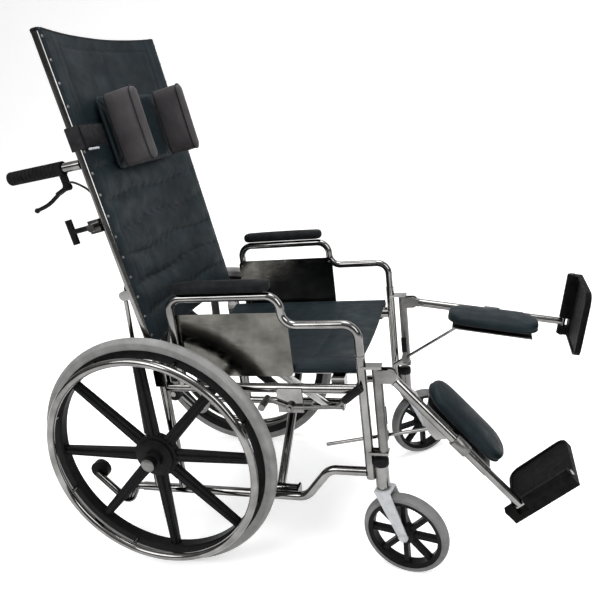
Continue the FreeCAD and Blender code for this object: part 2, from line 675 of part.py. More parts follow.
spreader_end = D.side_y + D.spreader_clamp
bar_place = Placement(Vector(-D.spreader_back, -spreader_end, D.spreader_up), Rotation(UP, ACROSS))
spreader = primitive("Cylinder", "spreader", back_place().multiply(bar_place),
                     Radius="dims.spreader_dia / 2", Height="2 * (dims.side_y + dims.spreader_clamp)")
keep(spreader, "spreader_bar")


# T knobs behind the spreader clamps

def t_knob(name, side):
    clamp_back = D.spreader_back + D.spreader_dia / 2 + D.cheek
    seat = Vector(-clamp_back - 0.2, side * D.side_y, D.spreader_up)
    stem = Placement(seat, Rotation(UP, -AHEAD))
    cross = seat + Vector(clamp_back - D.knob_reach, 0, -D.knob_bar / 2)
    length = "(dims.knob_reach - dims.spreader_back - dims.spreader_dia / 2 - dims.cheek)"
    parts = (
        primitive("Cylinder", f"{name}_knob_stem", stem, Radius="dims.cylinder_pin * 0.75", Height=length),
        primitive("Cylinder", f"{name}_knob_bar", Placement(cross, Rotation()), Radius="dims.cylinder_pin",
                  Height="dims.knob_bar"),
    )
    knob = joined(f"{name}_knob", parts)
    knob.Placement = back_place()
    return knob


for name, side in SIDES:
    keep(t_knob(name, side), f"{name}_t_knob")


# Hand grips with the clamp that carries the release lever

def lever_pivot(side):
    """The release lever's pivot in the back's own frame."""
    middle = handle_point(side, D.clamp_in + D.clamp_width / 2)
    return middle - UP * D.lever_drop


def hand_grip(side):
    run = (handle_point(side, 1) - handle_point(side, 0)).normalize()
    bore = D.frame_tube + 2 * D.plug_fit
    start = D.clamp_in + D.clamp_width + D.cheek_gap
    end = start + D.grip_length
    grip = bar(handle_point(side, start), handle_point(side, end), D.grip_dia - 2)
    pitch = D.grip_length / D.grip_ribs
    rings = []
    for ring in range(int(D.grip_ribs)):
        middle = handle_point(side, start + (ring + 0.5) * pitch)
        rings.append(bar(middle - run * (pitch * 0.3), middle + run * (pitch * 0.3), D.grip_dia))
    hole = bar(handle_point(side, start - 1), handle_point(side, D.handle_length + D.cheek_gap), bore)
    sleeve = one_solid(grip.multiFuse(rings).cut(hole))
    collar = bar(handle_point(side, D.clamp_in), handle_point(side, D.clamp_in + D.clamp_width), D.grip_dia)
    arm_half = Vector(D.clamp_width / 2, D.cheek, 0)
    centre = lever_pivot(side)
    arm = block(centre - arm_half, centre + arm_half + UP * (D.lever_drop - TUBE))
    boss = bar(centre - ACROSS * D.cheek, centre + ACROSS * D.cheek, D.clamp_width)
    reach = ACROSS * (D.cheek + D.lever_thick + 2 * D.cheek_gap)
    pin = bar(centre - reach, centre + reach, D.pivot_pin * 0.6)
    through = bar(handle_point(side, D.clamp_in - 1), handle_point(side, start), bore)
    clamp = one_solid(collar.multiFuse([arm, boss, pin]).cut(through))
    return Part.makeCompound([sleeve, clamp])


def release_lever(side):
    """Two side straps on the clamp's pin and a curved blade behind them."""
    pin = lever_pivot(side)
    inner = D.cheek + D.cheek_gap
    straps = []
    slope = math.radians(D.lever_slope)
    back = Vector(-math.cos(slope), 0, -math.sin(slope))
    strap_end = pin + back * (2 * D.clamp_width)
    for turn in (-1, 1):
        near = ACROSS * (turn * inner)
        strap = Part.makeCylinder(D.clamp_width / 2, D.lever_thick / 2, pin + near, ACROSS * turn)
        start, end = pin + near, strap_end + near
        lift = Vector(back.z, 0, -back.x) * (D.lever_thick / 2 + 1)
        wire = Part.makePolygon([start - lift, end - lift, end + lift, start + lift, start - lift])
        straps += [strap, Part.Face(wire).extrude(ACROSS * (turn * D.lever_thick / 2))]
    half = D.cheek + D.cheek_gap + D.lever_thick / 2
    tip = pin + back * D.lever_reach
    bow = (strap_end + tip) * 0.5 + Vector(back.z, 0, -back.x) * (-D.lever_thick)
    start = strap_end - back * D.lever_thick
    blade = pipe([start, bow, tip], D.lever_thick * 1.5, D.lever_reach)
    cross = bar(start - ACROSS * half, start + ACROSS * half, D.lever_thick + 2)
    ball = Part.makeSphere(D.lever_thick, tip)
    hole = bar(pin - ACROSS * 2 * half, pin + ACROSS * 2 * half, D.pivot_pin * 0.6 + 2 * D.plug_fit)
    return one_solid(cross.multiFuse(straps + [blade, ball]).cut(hole))


def release_cable(side):
    """The cable from the lever's clamp down the inside of the cane to the cylinder's lug."""
    y = side * D.side_y
    inside = y - side * (TUBE + D.cable_dia + 3)
    front = D.spreader_back - D.spreader_dia / 2 - D.cable_dia - 1
    clamp = lever_pivot(side) + Vector(D.clamp_width / 2 + 0.2, 0, D.clamp_width / 2)
    lug_top = CYLINDER_UP + TUBE + D.cable_dia
    points = [
        clamp,
        clamp + Vector(TUBE, 0, 2),
        Vector(-front, inside, clamp.z - 2 * D.frame_tube),
        Vector(-front, inside, lug_top + D.frame_tube),
        Vector(-D.cylinder_back, y - side * (EYE_GAP + D.cheek / 2), lug_top - D.cable_dia + 0.3),
    ]
    return pipe(points, D.cable_dia, D.cable_dia * 3.2)


for name, side in SIDES:
    shaped(f"{name}_hand_grip", hand_grip(side), back_place())
    shaped(f"{name}_release_lever", release_lever(side), back_place())
    shaped(f"{name}_release_cable", release_cable(side), back_place())


# Recline cylinders: the two pivots are as far from the recline pivot, so each turns by half the recline

def recline_cylinder(name, side):
    low = cylinder_pivot(side)
    high = on_cane(side, D.cylinder_back, CYLINDER_UP)
    aim = Rotation(UP, high - low)
    eye_turn = Placement(Vector(0, -D.eye_width / 2, 0), Rotation(UP, ACROSS))
    place, back = Placement(low, aim), Placement(high, aim)
    eye = primitive("Cylinder", f"{name}_cylinder_eye", place.multiply(eye_turn),
                    Radius="dims.cylinder_eye / 2", Height="dims.eye_width")
    neck = primitive("Cylinder", f"{name}_cylinder_neck", place, Radius="dims.eye_width * 0.45",
                     Height="dims.cylinder_dia")
    raised = Placement(Vector(0, 0, D.frame_tube - 4), Rotation())
    tube = primitive("Cylinder", f"{name}_cylinder_tube", place.multiply(raised),
                     Radius="dims.cylinder_dia / 2", Height="dims.cylinder_length - dims.frame_tube + 4")
    floor = Placement(Vector(0, 0, D.cylinder_dia + D.end_wall), Rotation())
    bore = primitive("Cylinder", f"{name}_cylinder_bore", place.multiply(floor),
                     Radius="dims.cylinder_rod / 2 + dims.plug_fit", Height="dims.cylinder_length")
    hole = primitive("Cylinder", f"{name}_cylinder_hole", place.multiply(eye_turn),
                     Radius="dims.cylinder_pin / 2 + dims.plug_fit", Height="dims.eye_width")
    keep(joined(f"{name}_cylinder", (eye, neck, tube), (bore, hole)), f"{name}_recline_cylinder")
    rod_eye = primitive("Cylinder", f"{name}_rod_eye", back.multiply(eye_turn),
                        Radius="dims.cylinder_eye / 2", Height="dims.eye_width")
    lowered = Placement(Vector(0, 0, -D.rod_reach), Rotation())
    rod = primitive("Cylinder", f"{name}_rod_bar", back.multiply(lowered), Radius="dims.cylinder_rod / 2",
                    Height="dims.rod_reach - dims.cylinder_dia * 0.6")
    hung = Placement(Vector(0, 0, -D.cylinder_dia), Rotation())
    rod_neck = primitive("Cylinder", f"{name}_rod_neck", back.multiply(hung),
                         Radius="dims.eye_width * 0.45", Height="dims.cylinder_dia")
    rod_hole = primitive("Cylinder", f"{name}_rod_hole", back.multiply(eye_turn),
                         Radius="dims.cylinder_pin / 2 + dims.plug_fit", Height="dims.eye_width")
    keep(joined(f"{name}_rod", (rod_eye, rod_neck, rod), (rod_hole,)), f"{name}_cylinder_rod")


for name, side in SIDES:
    recline_cylinder(name, side)


# Head support: a strap across the back, a pad on it and two stuffed wings

def head_support():
    middle = cane_face - D.back_sag
    radius = (D.side_y ** 2 + D.back_sag ** 2) / (2 * D.back_sag)
    axis = Vector(middle + radius, 0, 0)
    front = middle + D.back_cloth / 2 + D.back_crown + D.cloth_gap

    def bent(start, thick, low, high, half_width):
        turn = math.degrees(math.asin(half_width / radius))
        face = Part.Face(Part.makePolygon([Vector(x, 0, z) for x, z in (
            (start, low), (start + thick, low), (start + thick, high), (start, high), (start, low))]))
        face.rotate(axis, UP, -turn)
        return face.revolve(axis, UP, 2 * turn).Solids[0]

    centre = D.head_low + D.wing_height / 2
    pad_half = D.wing_y + D.wing_thick / 2
    strap = bent(front, D.strap_thick, centre - D.strap_height / 2, centre + D.strap_height / 2, D.side_y)
    pad_front = front + D.strap_thick + D.cloth_gap
    pad = bent(pad_front, D.head_pad, D.head_low, D.head_low + D.wing_height, pad_half)
    wings = []
    corner = D.wing_thick * 0.42
    sag_here = radius - math.sqrt(radius ** 2 - pad_half ** 2)
    seat = pad_front + D.head_pad + sag_here + D.cloth_gap
    for side in (-1, 1):
        wing = cushion(D.wing_height, D.wing_thick, D.wing_depth, corner, 2.0)
        wing.rotate(Vector(), ACROSS, 90)
        wing.translate(Vector(seat, side * D.wing_y, centre))
        wings.append(wing)
    return Part.makeCompound([strap, pad] + wings)


shaped("head_support", head_support(), back_place())


# Rear wheels

def wheel_place(side):
    return Placement(at(0, side * D.wheel_y, AXLE_Z), Rotation(UP, ACROSS * side))


def rear_wheel(name):
    wheel = doc.addObject("PartDesign::Body", f"{name}_wheel_body")
    seat = D.wheel_dia / 2 - D.tyre_height
    inside, half = seat - D.rim_depth, D.tyre_width / 2
    turned(wheel, f"{name}_rim", ((inside, 3 - half), (inside + 4, -half), (seat, -half), (seat, half),
                                  (inside + 4, half), (inside, half - 3)))
    hub, nose, bore = D.hub_dia / 2, D.hub_nose / 2, D.axle_dia / 2 + D.plug_fit
    deep = D.hub_depth / 2
    turned(wheel, f"{name}_hub", ((bore, -deep), (hub - 6, -deep), (hub, -deep + 6), (hub, deep - 8),
                                  (nose, deep), (nose, deep + D.nose_depth), (bore, deep + D.nose_depth)))
    wide, slim = D.spoke_width / 2, D.spoke_width / 2 - 4
    outline = closed(((hub - 6, -wide), (inside + 4, -slim), (inside + 4, slim), (hub - 6, wide)))
    spoke = padded(wheel, f"{name}_spoke", outline, "dims.spoke_depth", -D.spoke_depth / 2)
    ring = wheel.newObject("PartDesign::PolarPattern", f"{name}_spokes")
    ring.Originals = [spoke]
    ring.Axis = (plane_of(wheel, "Z_Axis"), [""])
    ring.Angle = 360.0
    ring.setExpression("Occurrences", "dims.spoke_count")
    wheel.Tip = ring
    return wheel


def tyre(name, outside, height, width):
    """A rubber tyre with a rounded tread, from its seat on the rim."""
    body = doc.addObject("PartDesign::Body", f"{name}_body")
    seat, half = outside - height + D.plug_fit, width / 2
    shoulder = outside - height * 0.36
    a, b = Vector(seat, -half + 1, 0), Vector(shoulder, -half, 0)
    c, d = Vector(shoulder, half, 0), Vector(seat, half - 1, 0)
    edges = [Part.LineSegment(a, b), Part.Arc(b, Vector(outside, 0, 0), c), Part.LineSegment(c, d),
             Part.LineSegment(d, a)]
    profile = sketch_of(body, f"{name}_profile", "XZ_Plane", edges)
    feature = body.newObject("PartDesign::Revolution", f"{name}_turned")
    feature.Profile = profile
    feature.ReferenceAxis = (profile, ["V_Axis"])
    feature.Angle = 360.0
    return body


def hand_rim(name, side):
    place = wheel_place(side)
    lifted = Placement(Vector(0, 0, D.hand_rim_gap), Rotation())
    ring = "dims.wheel_dia / 2 - dims.hand_rim_in"
    tab_out = D.wheel_dia / 2 - D.hand_rim_in + D.cheek
    parts = [primitive("Torus", f"{name}_rim_tube", place.multiply(lifted), Radius1=ring,
                       Radius2="dims.hand_rim_tube / 2")]
    step = 360.0 / D.spoke_count
    for tab in range(int(D.spoke_count)):
        spin = Placement(Vector(), Rotation(UP, (tab + 0.5) * step))
        foot = Placement(Vector(tab_out, 0, D.tyre_width / 2 + 0.05), Rotation())
        parts.append(primitive("Cylinder", f"{name}_rim_tab_{tab}", place.multiply(spin).multiply(foot),
                               Radius="dims.hand_rim_tube / 4",
                               Height="dims.hand_rim_gap - dims.tyre_width / 2"))
    return joined(f"{name}_hand_rim", parts)


for name, side in SIDES:
    wheel = keep(rear_wheel(name), f"{name}_rear_wheel")
    wheel.Placement = wheel_place(side)
    rubber = tyre(f"{name}_rear_tyre", D.wheel_dia / 2, D.tyre_height, D.tyre_width)
    keep(rubber, f"{name}_rear_tyre")
    rubber.Placement = wheel_place(side)
    keep(hand_rim(name, side), f"{name}_hand_rim")


# Casters, each turned about its stem

SWIVEL = {-1: D.right_swivel, 1: D.left_swivel}
CASTER_R = D.caster_dia / 2
FORK_IN = D.caster_width / 2 + 3.0


def stem_place(side):
    return Placement(at(D.caster_stem_x, side * D.side_y, 0), Rotation(UP, SWIVEL[side]))


def caster_place(side):
    axle = Placement(Vector(D.caster_trail, 0, CASTER_R), Rotation(UP, ACROSS))
    return stem_place(side).multiply(axle)


def caster_fork(side):
    """Crown, stem and two arms, with the axle bolt as a second solid."""
    top = D.housing_low_z - 2.0
    crown_low = top - D.fork_plate
    out = FORK_IN + D.fork_plate
    half = D.housing_dia / 2
    crown = block(Vector(-half, -out, crown_low), Vector(half + 6, out, top))
    stem = bar(Vector(0, 0, crown_low), Vector(0, 0, D.housing_top_z - 2 * D.end_wall), D.stem_dia)
    eye = D.caster_hub / 4
    arms = []
    for turn in (-1, 1):
        inner = turn * FORK_IN
        x, z = D.caster_trail, CASTER_R
        outline = [(-half, top), (half + 6, top), (x + eye, z), (x - eye, z)]
        wire = Part.makePolygon([Vector(px, inner, pz) for px, pz in outline + outline[:1]])
        arms.append(Part.Face(wire).extrude(ACROSS * (turn * D.fork_plate)))
        arms.append(Part.makeCylinder(eye, D.fork_plate, Vector(x, inner, z), ACROSS * turn))
    axle = Vector(D.caster_trail, 0, CASTER_R)
    through = ACROSS * (out + 1)
    hole = bar(axle - through, axle + through, D.caster_bolt + 2 * D.plug_fit)
    fork = one_solid(crown.multiFuse([stem] + arms).cut(hole))
    end = ACROSS * (out + D.cheek_gap)
    bolt = bar(axle - end, axle + end, D.caster_bolt)
    heads = [bar(axle + end * turn, axle + (end + ACROSS * 5) * turn, D.caster_bolt + 6)
             for turn in (-1, 1)]
    return Part.makeCompound([fork, one_solid(bolt.multiFuse(heads))])


def caster_wheel(name):
    wheel = doc.addObject("PartDesign::Body", f"{name}_caster_body")
    seat = CASTER_R - D.caster_tyre
    half, lip = D.caster_width / 2, D.caster_width / 2 - 4
    turned(wheel, f"{name}_caster_rim", ((seat - 10, -lip), (seat, -half), (seat, half), (seat - 10, lip)))
    hub, bore, deep = D.caster_hub / 2, D.caster_bolt / 2 + D.plug_fit, FORK_IN - D.end_play
    turned(wheel, f"{name}_caster_hub", ((bore, -deep), (hub - 8, -deep), (hub, -half + 4), (hub, half - 4),
                                         (hub - 8, deep), (bore, deep)))
    wide = D.caster_hub / 8
    outline = closed(((hub - 4, -wide), (seat - 6, -wide), (seat - 6, wide), (hub - 4, wide)))
    spoke = padded(wheel, f"{name}_caster_spoke", outline, "dims.caster_width / 2", -D.caster_width / 4)
    ring = wheel.newObject("PartDesign::PolarPattern", f"{name}_caster_spokes")
    ring.Originals = [spoke]
    ring.Axis = (plane_of(wheel, "Z_Axis"), [""])
    ring.Angle = 360.0
    ring.setExpression("Occurrences", "dims.spoke_count")
    wheel.Tip = ring
    return wheel


for name, side in SIDES:
    shaped(f"{name}_caster_fork", caster_fork(side), stem_place(side))
    wheel = keep(caster_wheel(name), f"{name}_caster_wheel")
    wheel.Placement = caster_place(side)
    rubber = tyre(f"{name}_caster_tyre", CASTER_R, D.caster_tyre, D.caster_width)
    keep(rubber, f"{name}_caster_tyre")
    rubber.Placement = caster_place(side)


# Arms: a bent frame in two sockets, a pad and a skirt panel on its inner side

def arm_frame(side):
    arm = Weldment()
    y = side * D.side_y
    low = D.post_top_z - D.arm_in_socket
    points = [at(D.arm_rear_x, y, D.post_top_z - D.arm_in_socket / 2), at(D.arm_rear_x, y, D.arm_z),
              at(D.arm_front_x, y, D.arm_z), at(D.arm_front_x, y, D.arm_step_z),
              at(D.post_x, y, D.arm_step_z), at(D.post_x, y, low)]
    arm.tube(points, D.arm_tube, D.arm_bend)
    return arm.shape()


def arm_pad(side):
    pad = cushion(D.arm_pad_length, D.arm_pad_width, D.arm_pad_height, D.arm_pad_width * 0.4, 0.6)
    middle = (D.arm_rear_x + D.arm_front_x) / 2
    pad.translate(at(middle, side * D.side_y, D.arm_z + D.arm_tube / 2 + D.cloth_gap))
    return pad


def skirt_panel(name, side):
    body = doc.addObject("PartDesign::Body", f"{name}_panel_body")
    half = D.arm_tube / 2
    low, high = D.panel_low_z, D.panel_top_z
    rear, front = D.arm_rear_x - half, D.arm_front_x + half
    # the lower rear corner is cut away for the arm's socket
    socket_x, socket_z = D.arm_rear_x + TUBE + 2, D.post_top_z + 3
    edges = closed(((socket_x, low), (front, low), (front, high), (rear, high), (rear, socket_z),
                    (socket_x, socket_z)))
    panel = padded(body, f"{name}_panel", edges, "dims.panel_thick")
    doc.recompute()
    round_off = body.newObject("PartDesign::Fillet", f"{name}_panel_corners")
    upright = [f"Edge{i}" for i, edge in enumerate(panel.Shape.Edges, start=1)
               if abs(edge.tangentAt(edge.FirstParameter).z) > 0.9
               and not (edge.CenterOfMass.x < socket_x + 1 and abs(edge.CenterOfMass.y - socket_z) < 1)]
    round_off.Base = (panel, upright)
    round_off.setExpression("Radius", "dims.panel_corner")
    body.Tip = round_off
    inner = D.side_y - half - D.plug_fit
    y = inner if side > 0 else -inner + D.panel_thick
    body.Placement = Placement(at(0, y, 0), Rotation(AHEAD, 90))
    return body


for name, side in SIDES:
    shaped(f"{name}_arm_frame", arm_frame(side))
    shaped(f"{name}_arm_pad", arm_pad(side))
    keep(skirt_panel(name, side), f"{name}_skirt_panel")


# Leg rests

def leg_hanger(side):
    """An upright on the swing pins, with the knee's cheeks in front and the rod clamp's pin inboard."""
    hanger = Weldment()
    y = side * D.side_y
    low, high = at(D.hanger_x, y, D.hanger_low_z), at(D.hanger_x, y, D.hanger_top_z)
    hanger.add(bar(low, high, D.frame_tube))
    pin_in = 2 * D.hinge_pin + 1
    hole = D.hinge_pin + 2 * D.plug_fit
    hanger.bore(bar(low - UP, low + UP * pin_in, hole), bar(high + UP, high - UP * pin_in, hole))
    hollow = UP * (pin_in + D.end_wall)
    hanger.bore(bar(low + hollow, high - hollow, TUBE_BORE))
    centre = knee(side)
    for turn in (-1, 1):
        inner, outer = ACROSS * (turn * KNUCKLE_GAP), ACROSS * (turn * (KNUCKLE_GAP + D.cheek))
        hanger.add(Part.makeCylinder(CHEEK, D.cheek, centre + inner, ACROSS * turn))
        rear = Vector(low.x, y, centre.z - CHEEK) + inner
        hanger.add(block(rear, Vector(centre.x, y, centre.z + CHEEK) + outer))
    reach = ACROSS * (KNUCKLE_GAP + D.cheek)
    hanger.add(bar(centre - reach, centre + reach, D.pivot_pin))
    foot = lift_foot(side)
    root = Vector(foot.x, y - side * ROOT_IN, foot.z)
    tip = foot + ACROSS * (side * (D.lift_rod / 2 + 2))
    hanger.add(bar(root, tip, D.cylinder_pin))
    return hanger.shape()


def leg_tube(side):
    """Leg tube from its knuckle, open at the foot, with a fin for the elevating rod. In the leg's frame."""
    leg = Weldment()
    start = D.knuckle_dia / 2 + D.cheek
    leg.add(bar(Vector(start, 0, 0), Vector(D.leg_length, 0, 0), D.frame_tube))
    leg.bore(bar(Vector(start + D.end_wall, 0, 0), Vector(D.leg_length + 1, 0, 0), TUBE_BORE))
    half = ACROSS * (D.knuckle_width / 2)
    leg.add(bar(-half, half, D.knuckle_dia))
    neck = Vector(0, D.knuckle_width / 2, TUBE - 1)
    leg.add(block(-neck, neck + AHEAD * (start + D.cheek)))
    leg.bore(bar(half * -2, half * 2, D.pivot_pin + 2 * D.plug_fit))
    along = math.sqrt(D.lift_radius ** 2 - D.lift_drop ** 2)
    eye = Vector(along, 0, -D.lift_drop)
    reach = D.lift_radius * 0.42
    top = -ROOT_IN
    fin = [Vector(along - reach, -D.cheek / 2, top), Vector(along + reach * 0.36, -D.cheek / 2, top),
           Vector(along + TUBE, -D.cheek / 2, -D.lift_drop - TUBE),
           Vector(along - TUBE, -D.cheek / 2, -D.lift_drop - TUBE)]
    leg.add(Part.Face(Part.makePolygon(fin + fin[:1])).extrude(ACROSS * D.cheek))
    pin_tip = eye - ACROSS * (side * (D.lift_in + D.eye_width / 2 + D.cheek_gap))
    leg.add(bar(eye, pin_tip, D.cylinder_pin))
    return leg.shape()


def foot_tube():
    foot = Weldment()
    inside = D.leg_length - D.foot_inside
    tube_end = D.foot_reach - D.foot_rod / 2 + D.weld_bite
    foot.tube([Vector(inside, 0, 0), Vector(tube_end, 0, 0)], D.arm_tube)
    hinge = Vector(D.foot_reach, 0, 0)
    foot.add(bar(hinge - UP * (D.heel + D.cheek), hinge + UP * (D.toe + D.cheek), D.foot_rod))
    return foot.shape()


def footplate(side):
    """A moulded sole just beyond two barrels round the hinge rod, so that it folds up beside the leg."""
    notch = D.arm_tube / 2 + 3
    edge = D.barrel_dia / 2
    outer, inner = side * edge, -side * D.footplate_width
    upper = D.foot_reach + edge
    lower = upper + D.footplate_thick
    sole = block(Vector(upper, outer, -D.heel), Vector(lower, inner, D.toe))
    upright = [run for run in sole.Edges
               if abs(run.tangentAt(run.FirstParameter).x) > 0.9 and abs(run.CenterOfMass.y - inner) < 1]
    sole = sole.makeFillet(2 * D.footplate_thick, upright)
    rim = 6.0
    recess = block(Vector(upper - 1, -side * (edge + rim), rim - D.heel),
                   Vector(upper + 3, inner + side * rim, D.toe - rim))
    corners = [run for run in recess.Edges if abs(run.tangentAt(run.FirstParameter).x) > 0.9]
    sole = sole.cut(recess.makeFillet(3 * rim, corners))
    barrels = []
    for low, high in ((-D.heel, -notch), (notch, D.toe)):
        start, end = Vector(D.foot_reach, 0, low), Vector(D.foot_reach, 0, high)
        barrels.append(bar(start, end, D.barrel_dia))
        barrels.append(block(start - ACROSS * edge, end + ACROSS * edge + AHEAD * (edge + 2)))
    hole = bar(Vector(D.foot_reach, 0, -D.heel - 1), Vector(D.foot_reach, 0, D.toe + 1),
               D.foot_rod + 2 * D.plug_fit)
    return one_solid(sole.multiFuse(barrels).cut(hole))


def calf_pad(side):
    """A stuffed pad on its plate, which hangs on a collar that turns on the leg tube."""
    middle = D.calf_start + D.calf_length / 2
    across = -side * (TUBE + D.calf_in + D.calf_width / 2)
    pad = cushion(D.calf_length, D.calf_width, D.calf_thick, D.calf_width * 0.4, 1.0)
    pad.translate(Vector(middle, across, -TUBE / 2))
    base = -TUBE / 2 - D.cloth_gap
    half = D.collar_width / 2
    far = across - side * D.calf_width / 3
    tongue = block(Vector(middle - half, -side * TUBE, base - D.calf_plate),
                   Vector(middle + half, far, base))
    plate = block(Vector(middle - D.calf_length / 3, across + side * D.calf_width / 3, base - D.calf_plate),
                  Vector(middle + D.calf_length / 3, far, base))
    collar = bar(Vector(middle - half, 0, 0), Vector(middle + half, 0, 0), D.collar_dia)
    hole = bar(Vector(middle - half - 1, 0, 0), Vector(middle + half + 1, 0, 0),
               D.frame_tube + 2 * D.plug_fit)
    bracket = one_solid(collar.multiFuse([tongue, plate]).cut(hole))
    return Part.makeCompound([pad, bracket])


def lift_run(side):
    return (lift_foot(side) - lift_head(side)).normalize()


def lift_rod(side):
    """The elevating rod: an eye on the leg's pin, then the bar through its clamp."""
    head, run = lift_head(side), lift_run(side)
    half = ACROSS * (D.eye_width / 2)
    eye = bar(head - half, head + half, D.cylinder_eye)
    rod = bar(head, head + run * D.lift_length, D.lift_rod)
    hole = bar(head - half * 2, head + half * 2, D.cylinder_pin + 2 * D.plug_fit)
    return one_solid(eye.fuse(rod).cut(hole))


def lift_clamp(side):
    """The clamp that the rod slides through, on the hanger's pin, with its release handle pointing up."""
    foot, run = lift_foot(side), lift_run(side)
    out = ACROSS * side
    outer = foot + out * (D.lift_in - TUBE - 0.5)
    inner = foot - out * D.eye_width
    drum = bar(outer, inner, D.frame_tube)
    handle = [Part.makeCylinder(D.cylinder_eye / 2, D.lever_thick, inner, -out)]
    half = Vector(D.lever_thick, 0, 0)
    handle.append(block(inner - half, inner + half - out * D.lever_thick + UP * (3 * D.frame_tube)))
    through = run * (D.frame_tube)
    rod_bore = bar(foot - through, foot + through, D.lift_rod + 2 * D.plug_fit)
    pin_bore = bar(outer + out, foot + out * (D.lift_rod / 2 + 1.4), D.cylinder_pin + 2 * D.plug_fit)
    return one_solid(drum.multiFuse(handle).cut([rod_bore, pin_bore]))


for name, side in SIDES:
    shaped(f"{name}_leg_hanger", leg_hanger(side))
    shaped(f"{name}_leg_tube", leg_tube(side), leg_place(side))
    shaped(f"{name}_foot_tube", foot_tube(), leg_place(side))
    shaped(f"{name}_footplate", footplate(side), leg_place(side))
    shaped(f"{name}_calf_pad", calf_pad(side), leg_place(side))
    shaped(f"{name}_lift_rod", lift_rod(side))
    shaped(f"{name}_lift_clamp", lift_clamp(side))


# Wheel locks: a bent lever on a plate of the upper rail, with a shoe across the tyre

def lock_lever(side):
    y = side * (D.side_y + TUBE + D.cheek + D.cheek_gap + D.lock_bar / 2)
    half = ACROSS * (D.lock_bar / 2)
    centre = at(D.lock_x, y, D.lock_z)
    toe = at(D.lock_x - D.shoe_back, y, D.lock_z + D.shoe_up)
    drum = bar(centre - half, centre + half, D.lock_bar * 2)
    bend = at(D.lock_x + D.lock_run, y, D.lock_z + D.lock_rise)
    tip = at(D.lock_x + D.lock_reach, y, D.lock_z + D.lock_lift)
    slim = D.lock_bar * 0.9
    arm = pipe([centre, bend, tip], slim, D.lock_bar * 2)
    run = (tip - bend).normalize()
    knob = bar(tip - run * (3 * D.lock_bar), tip + run * D.lock_bar, D.lock_bar * 1.7)
    link = bar(centre, toe, slim)
    shoe_out = toe + ACROSS * (side * (D.wheel_y + D.tyre_width / 2 - abs(y)))
    shoe = bar(toe - half * side, shoe_out, D.lock_shoe)
    hole = bar(centre - half * 2, centre + half * 2, D.cylinder_pin + 2 * D.plug_fit)
    return one_solid(drum.multiFuse([arm, knob, link, shoe]).cut(hole))


for name, side in SIDES:
    shaped(f"{name}_lock_lever", lock_lever(side))


# Anti tip tubes in the rear ends of the lower rails

def anti_tip_tube(side):
    tube = Weldment()
    y = side * D.side_y
    end = at(D.roller_x, y, D.roller_z)
    points = [at(D.tip_inside, y, D.lower_rail_z), at(D.tip_bend, y, D.lower_rail_z),
              at(D.tip_dip, y, D.tip_low_z), end]
    tube.tube(points, D.arm_tube, D.tip_radius)
    inboard = ACROSS * -side
    width = D.arm_tube / 2 + D.roller_width + 2 * D.end_play
    tube.add(bar(end, end + inboard * width, D.cylinder_pin))
    tube.add(bar(end + inboard * width, end + inboard * (width + D.cheek), D.cylinder_eye))
    return tube.shape()


for name, side in SIDES:
    shaped(f"{name}_anti_tip_tube", anti_tip_tube(side))
    start = D.side_y - D.arm_tube / 2 - D.end_play
    place = Placement(at(D.roller_x, side * start, D.roller_z), Rotation(UP, ACROSS * -side))
    wheel = primitive("Cylinder", f"{name}_roller_disc", place, Radius="dims.roller_dia / 2",
                      Height="dims.roller_width")
    hole = primitive("Cylinder", f"{name}_roller_bore", place,
                     Radius="dims.cylinder_pin / 2 + dims.plug_fit", Height="dims.roller_width")
    roller = doc.addObject("Part::Cut", f"{name}_roller")
    roller.Base = wheel
    roller.Tool = hole
    keep(roller, f"{name}_anti_tip_roller")


# Check every object, then write one file for each sub-part

doc.recompute()
for thing in doc.Objects:
    bad = {"Invalid", "Error"} & set(thing.State)
    if bad:
        raise ValueError(f"{thing.Label}: {thing.State}")
    shape = getattr(thing, "Shape", None)
    if thing in NODES and (shape is None or shape.isNull() or not shape.isValid()):
        raise ValueError(f"{thing.Label}: shape")
os.makedirs("parts", exist_ok=True)
for thing in NODES:
    thing.Shape.exportStep(f"parts/{thing.Label}.step")
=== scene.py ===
import json
import math
import bmesh
import bpy
import numpy as np
from mathutils import Matrix, Vector


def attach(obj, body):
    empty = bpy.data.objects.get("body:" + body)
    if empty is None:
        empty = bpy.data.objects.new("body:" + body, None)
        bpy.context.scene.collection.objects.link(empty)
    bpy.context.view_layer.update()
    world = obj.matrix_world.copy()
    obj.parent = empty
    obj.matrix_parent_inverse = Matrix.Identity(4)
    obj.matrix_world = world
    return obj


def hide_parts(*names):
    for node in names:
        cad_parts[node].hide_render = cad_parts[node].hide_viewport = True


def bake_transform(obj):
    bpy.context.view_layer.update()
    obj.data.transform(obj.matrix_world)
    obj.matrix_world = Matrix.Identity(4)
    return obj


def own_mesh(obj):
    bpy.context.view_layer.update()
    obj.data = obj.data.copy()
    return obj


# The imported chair: X ahead, Y to the sitter's left, Z up, in metres, with the origin on the floor.
# Lengths ahead are counted from the rear axle, as a chair maker's drawing does.
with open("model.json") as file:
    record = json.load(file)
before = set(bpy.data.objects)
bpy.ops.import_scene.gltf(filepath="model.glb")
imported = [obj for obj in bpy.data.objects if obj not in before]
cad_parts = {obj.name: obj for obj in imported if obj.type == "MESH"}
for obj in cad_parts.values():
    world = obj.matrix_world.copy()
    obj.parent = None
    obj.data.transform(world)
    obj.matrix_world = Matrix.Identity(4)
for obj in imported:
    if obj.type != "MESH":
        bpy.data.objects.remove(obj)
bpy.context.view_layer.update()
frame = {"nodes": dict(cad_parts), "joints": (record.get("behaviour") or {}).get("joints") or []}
nodes = frame["nodes"]
sides = (("right", -1), ("left", 1))
rear_axle_x = -0.3569445


def from_axle(x, y, z):
    """A point given in millimetres from the rear axle, the middle plane and the floor."""
    return Vector((rear_axle_x + x / 1000, y / 1000, z / 1000))


# Camera: a standing person's view of the chair's right side, a little from the front.
# The picture leans a few degrees, as the photographer held it.

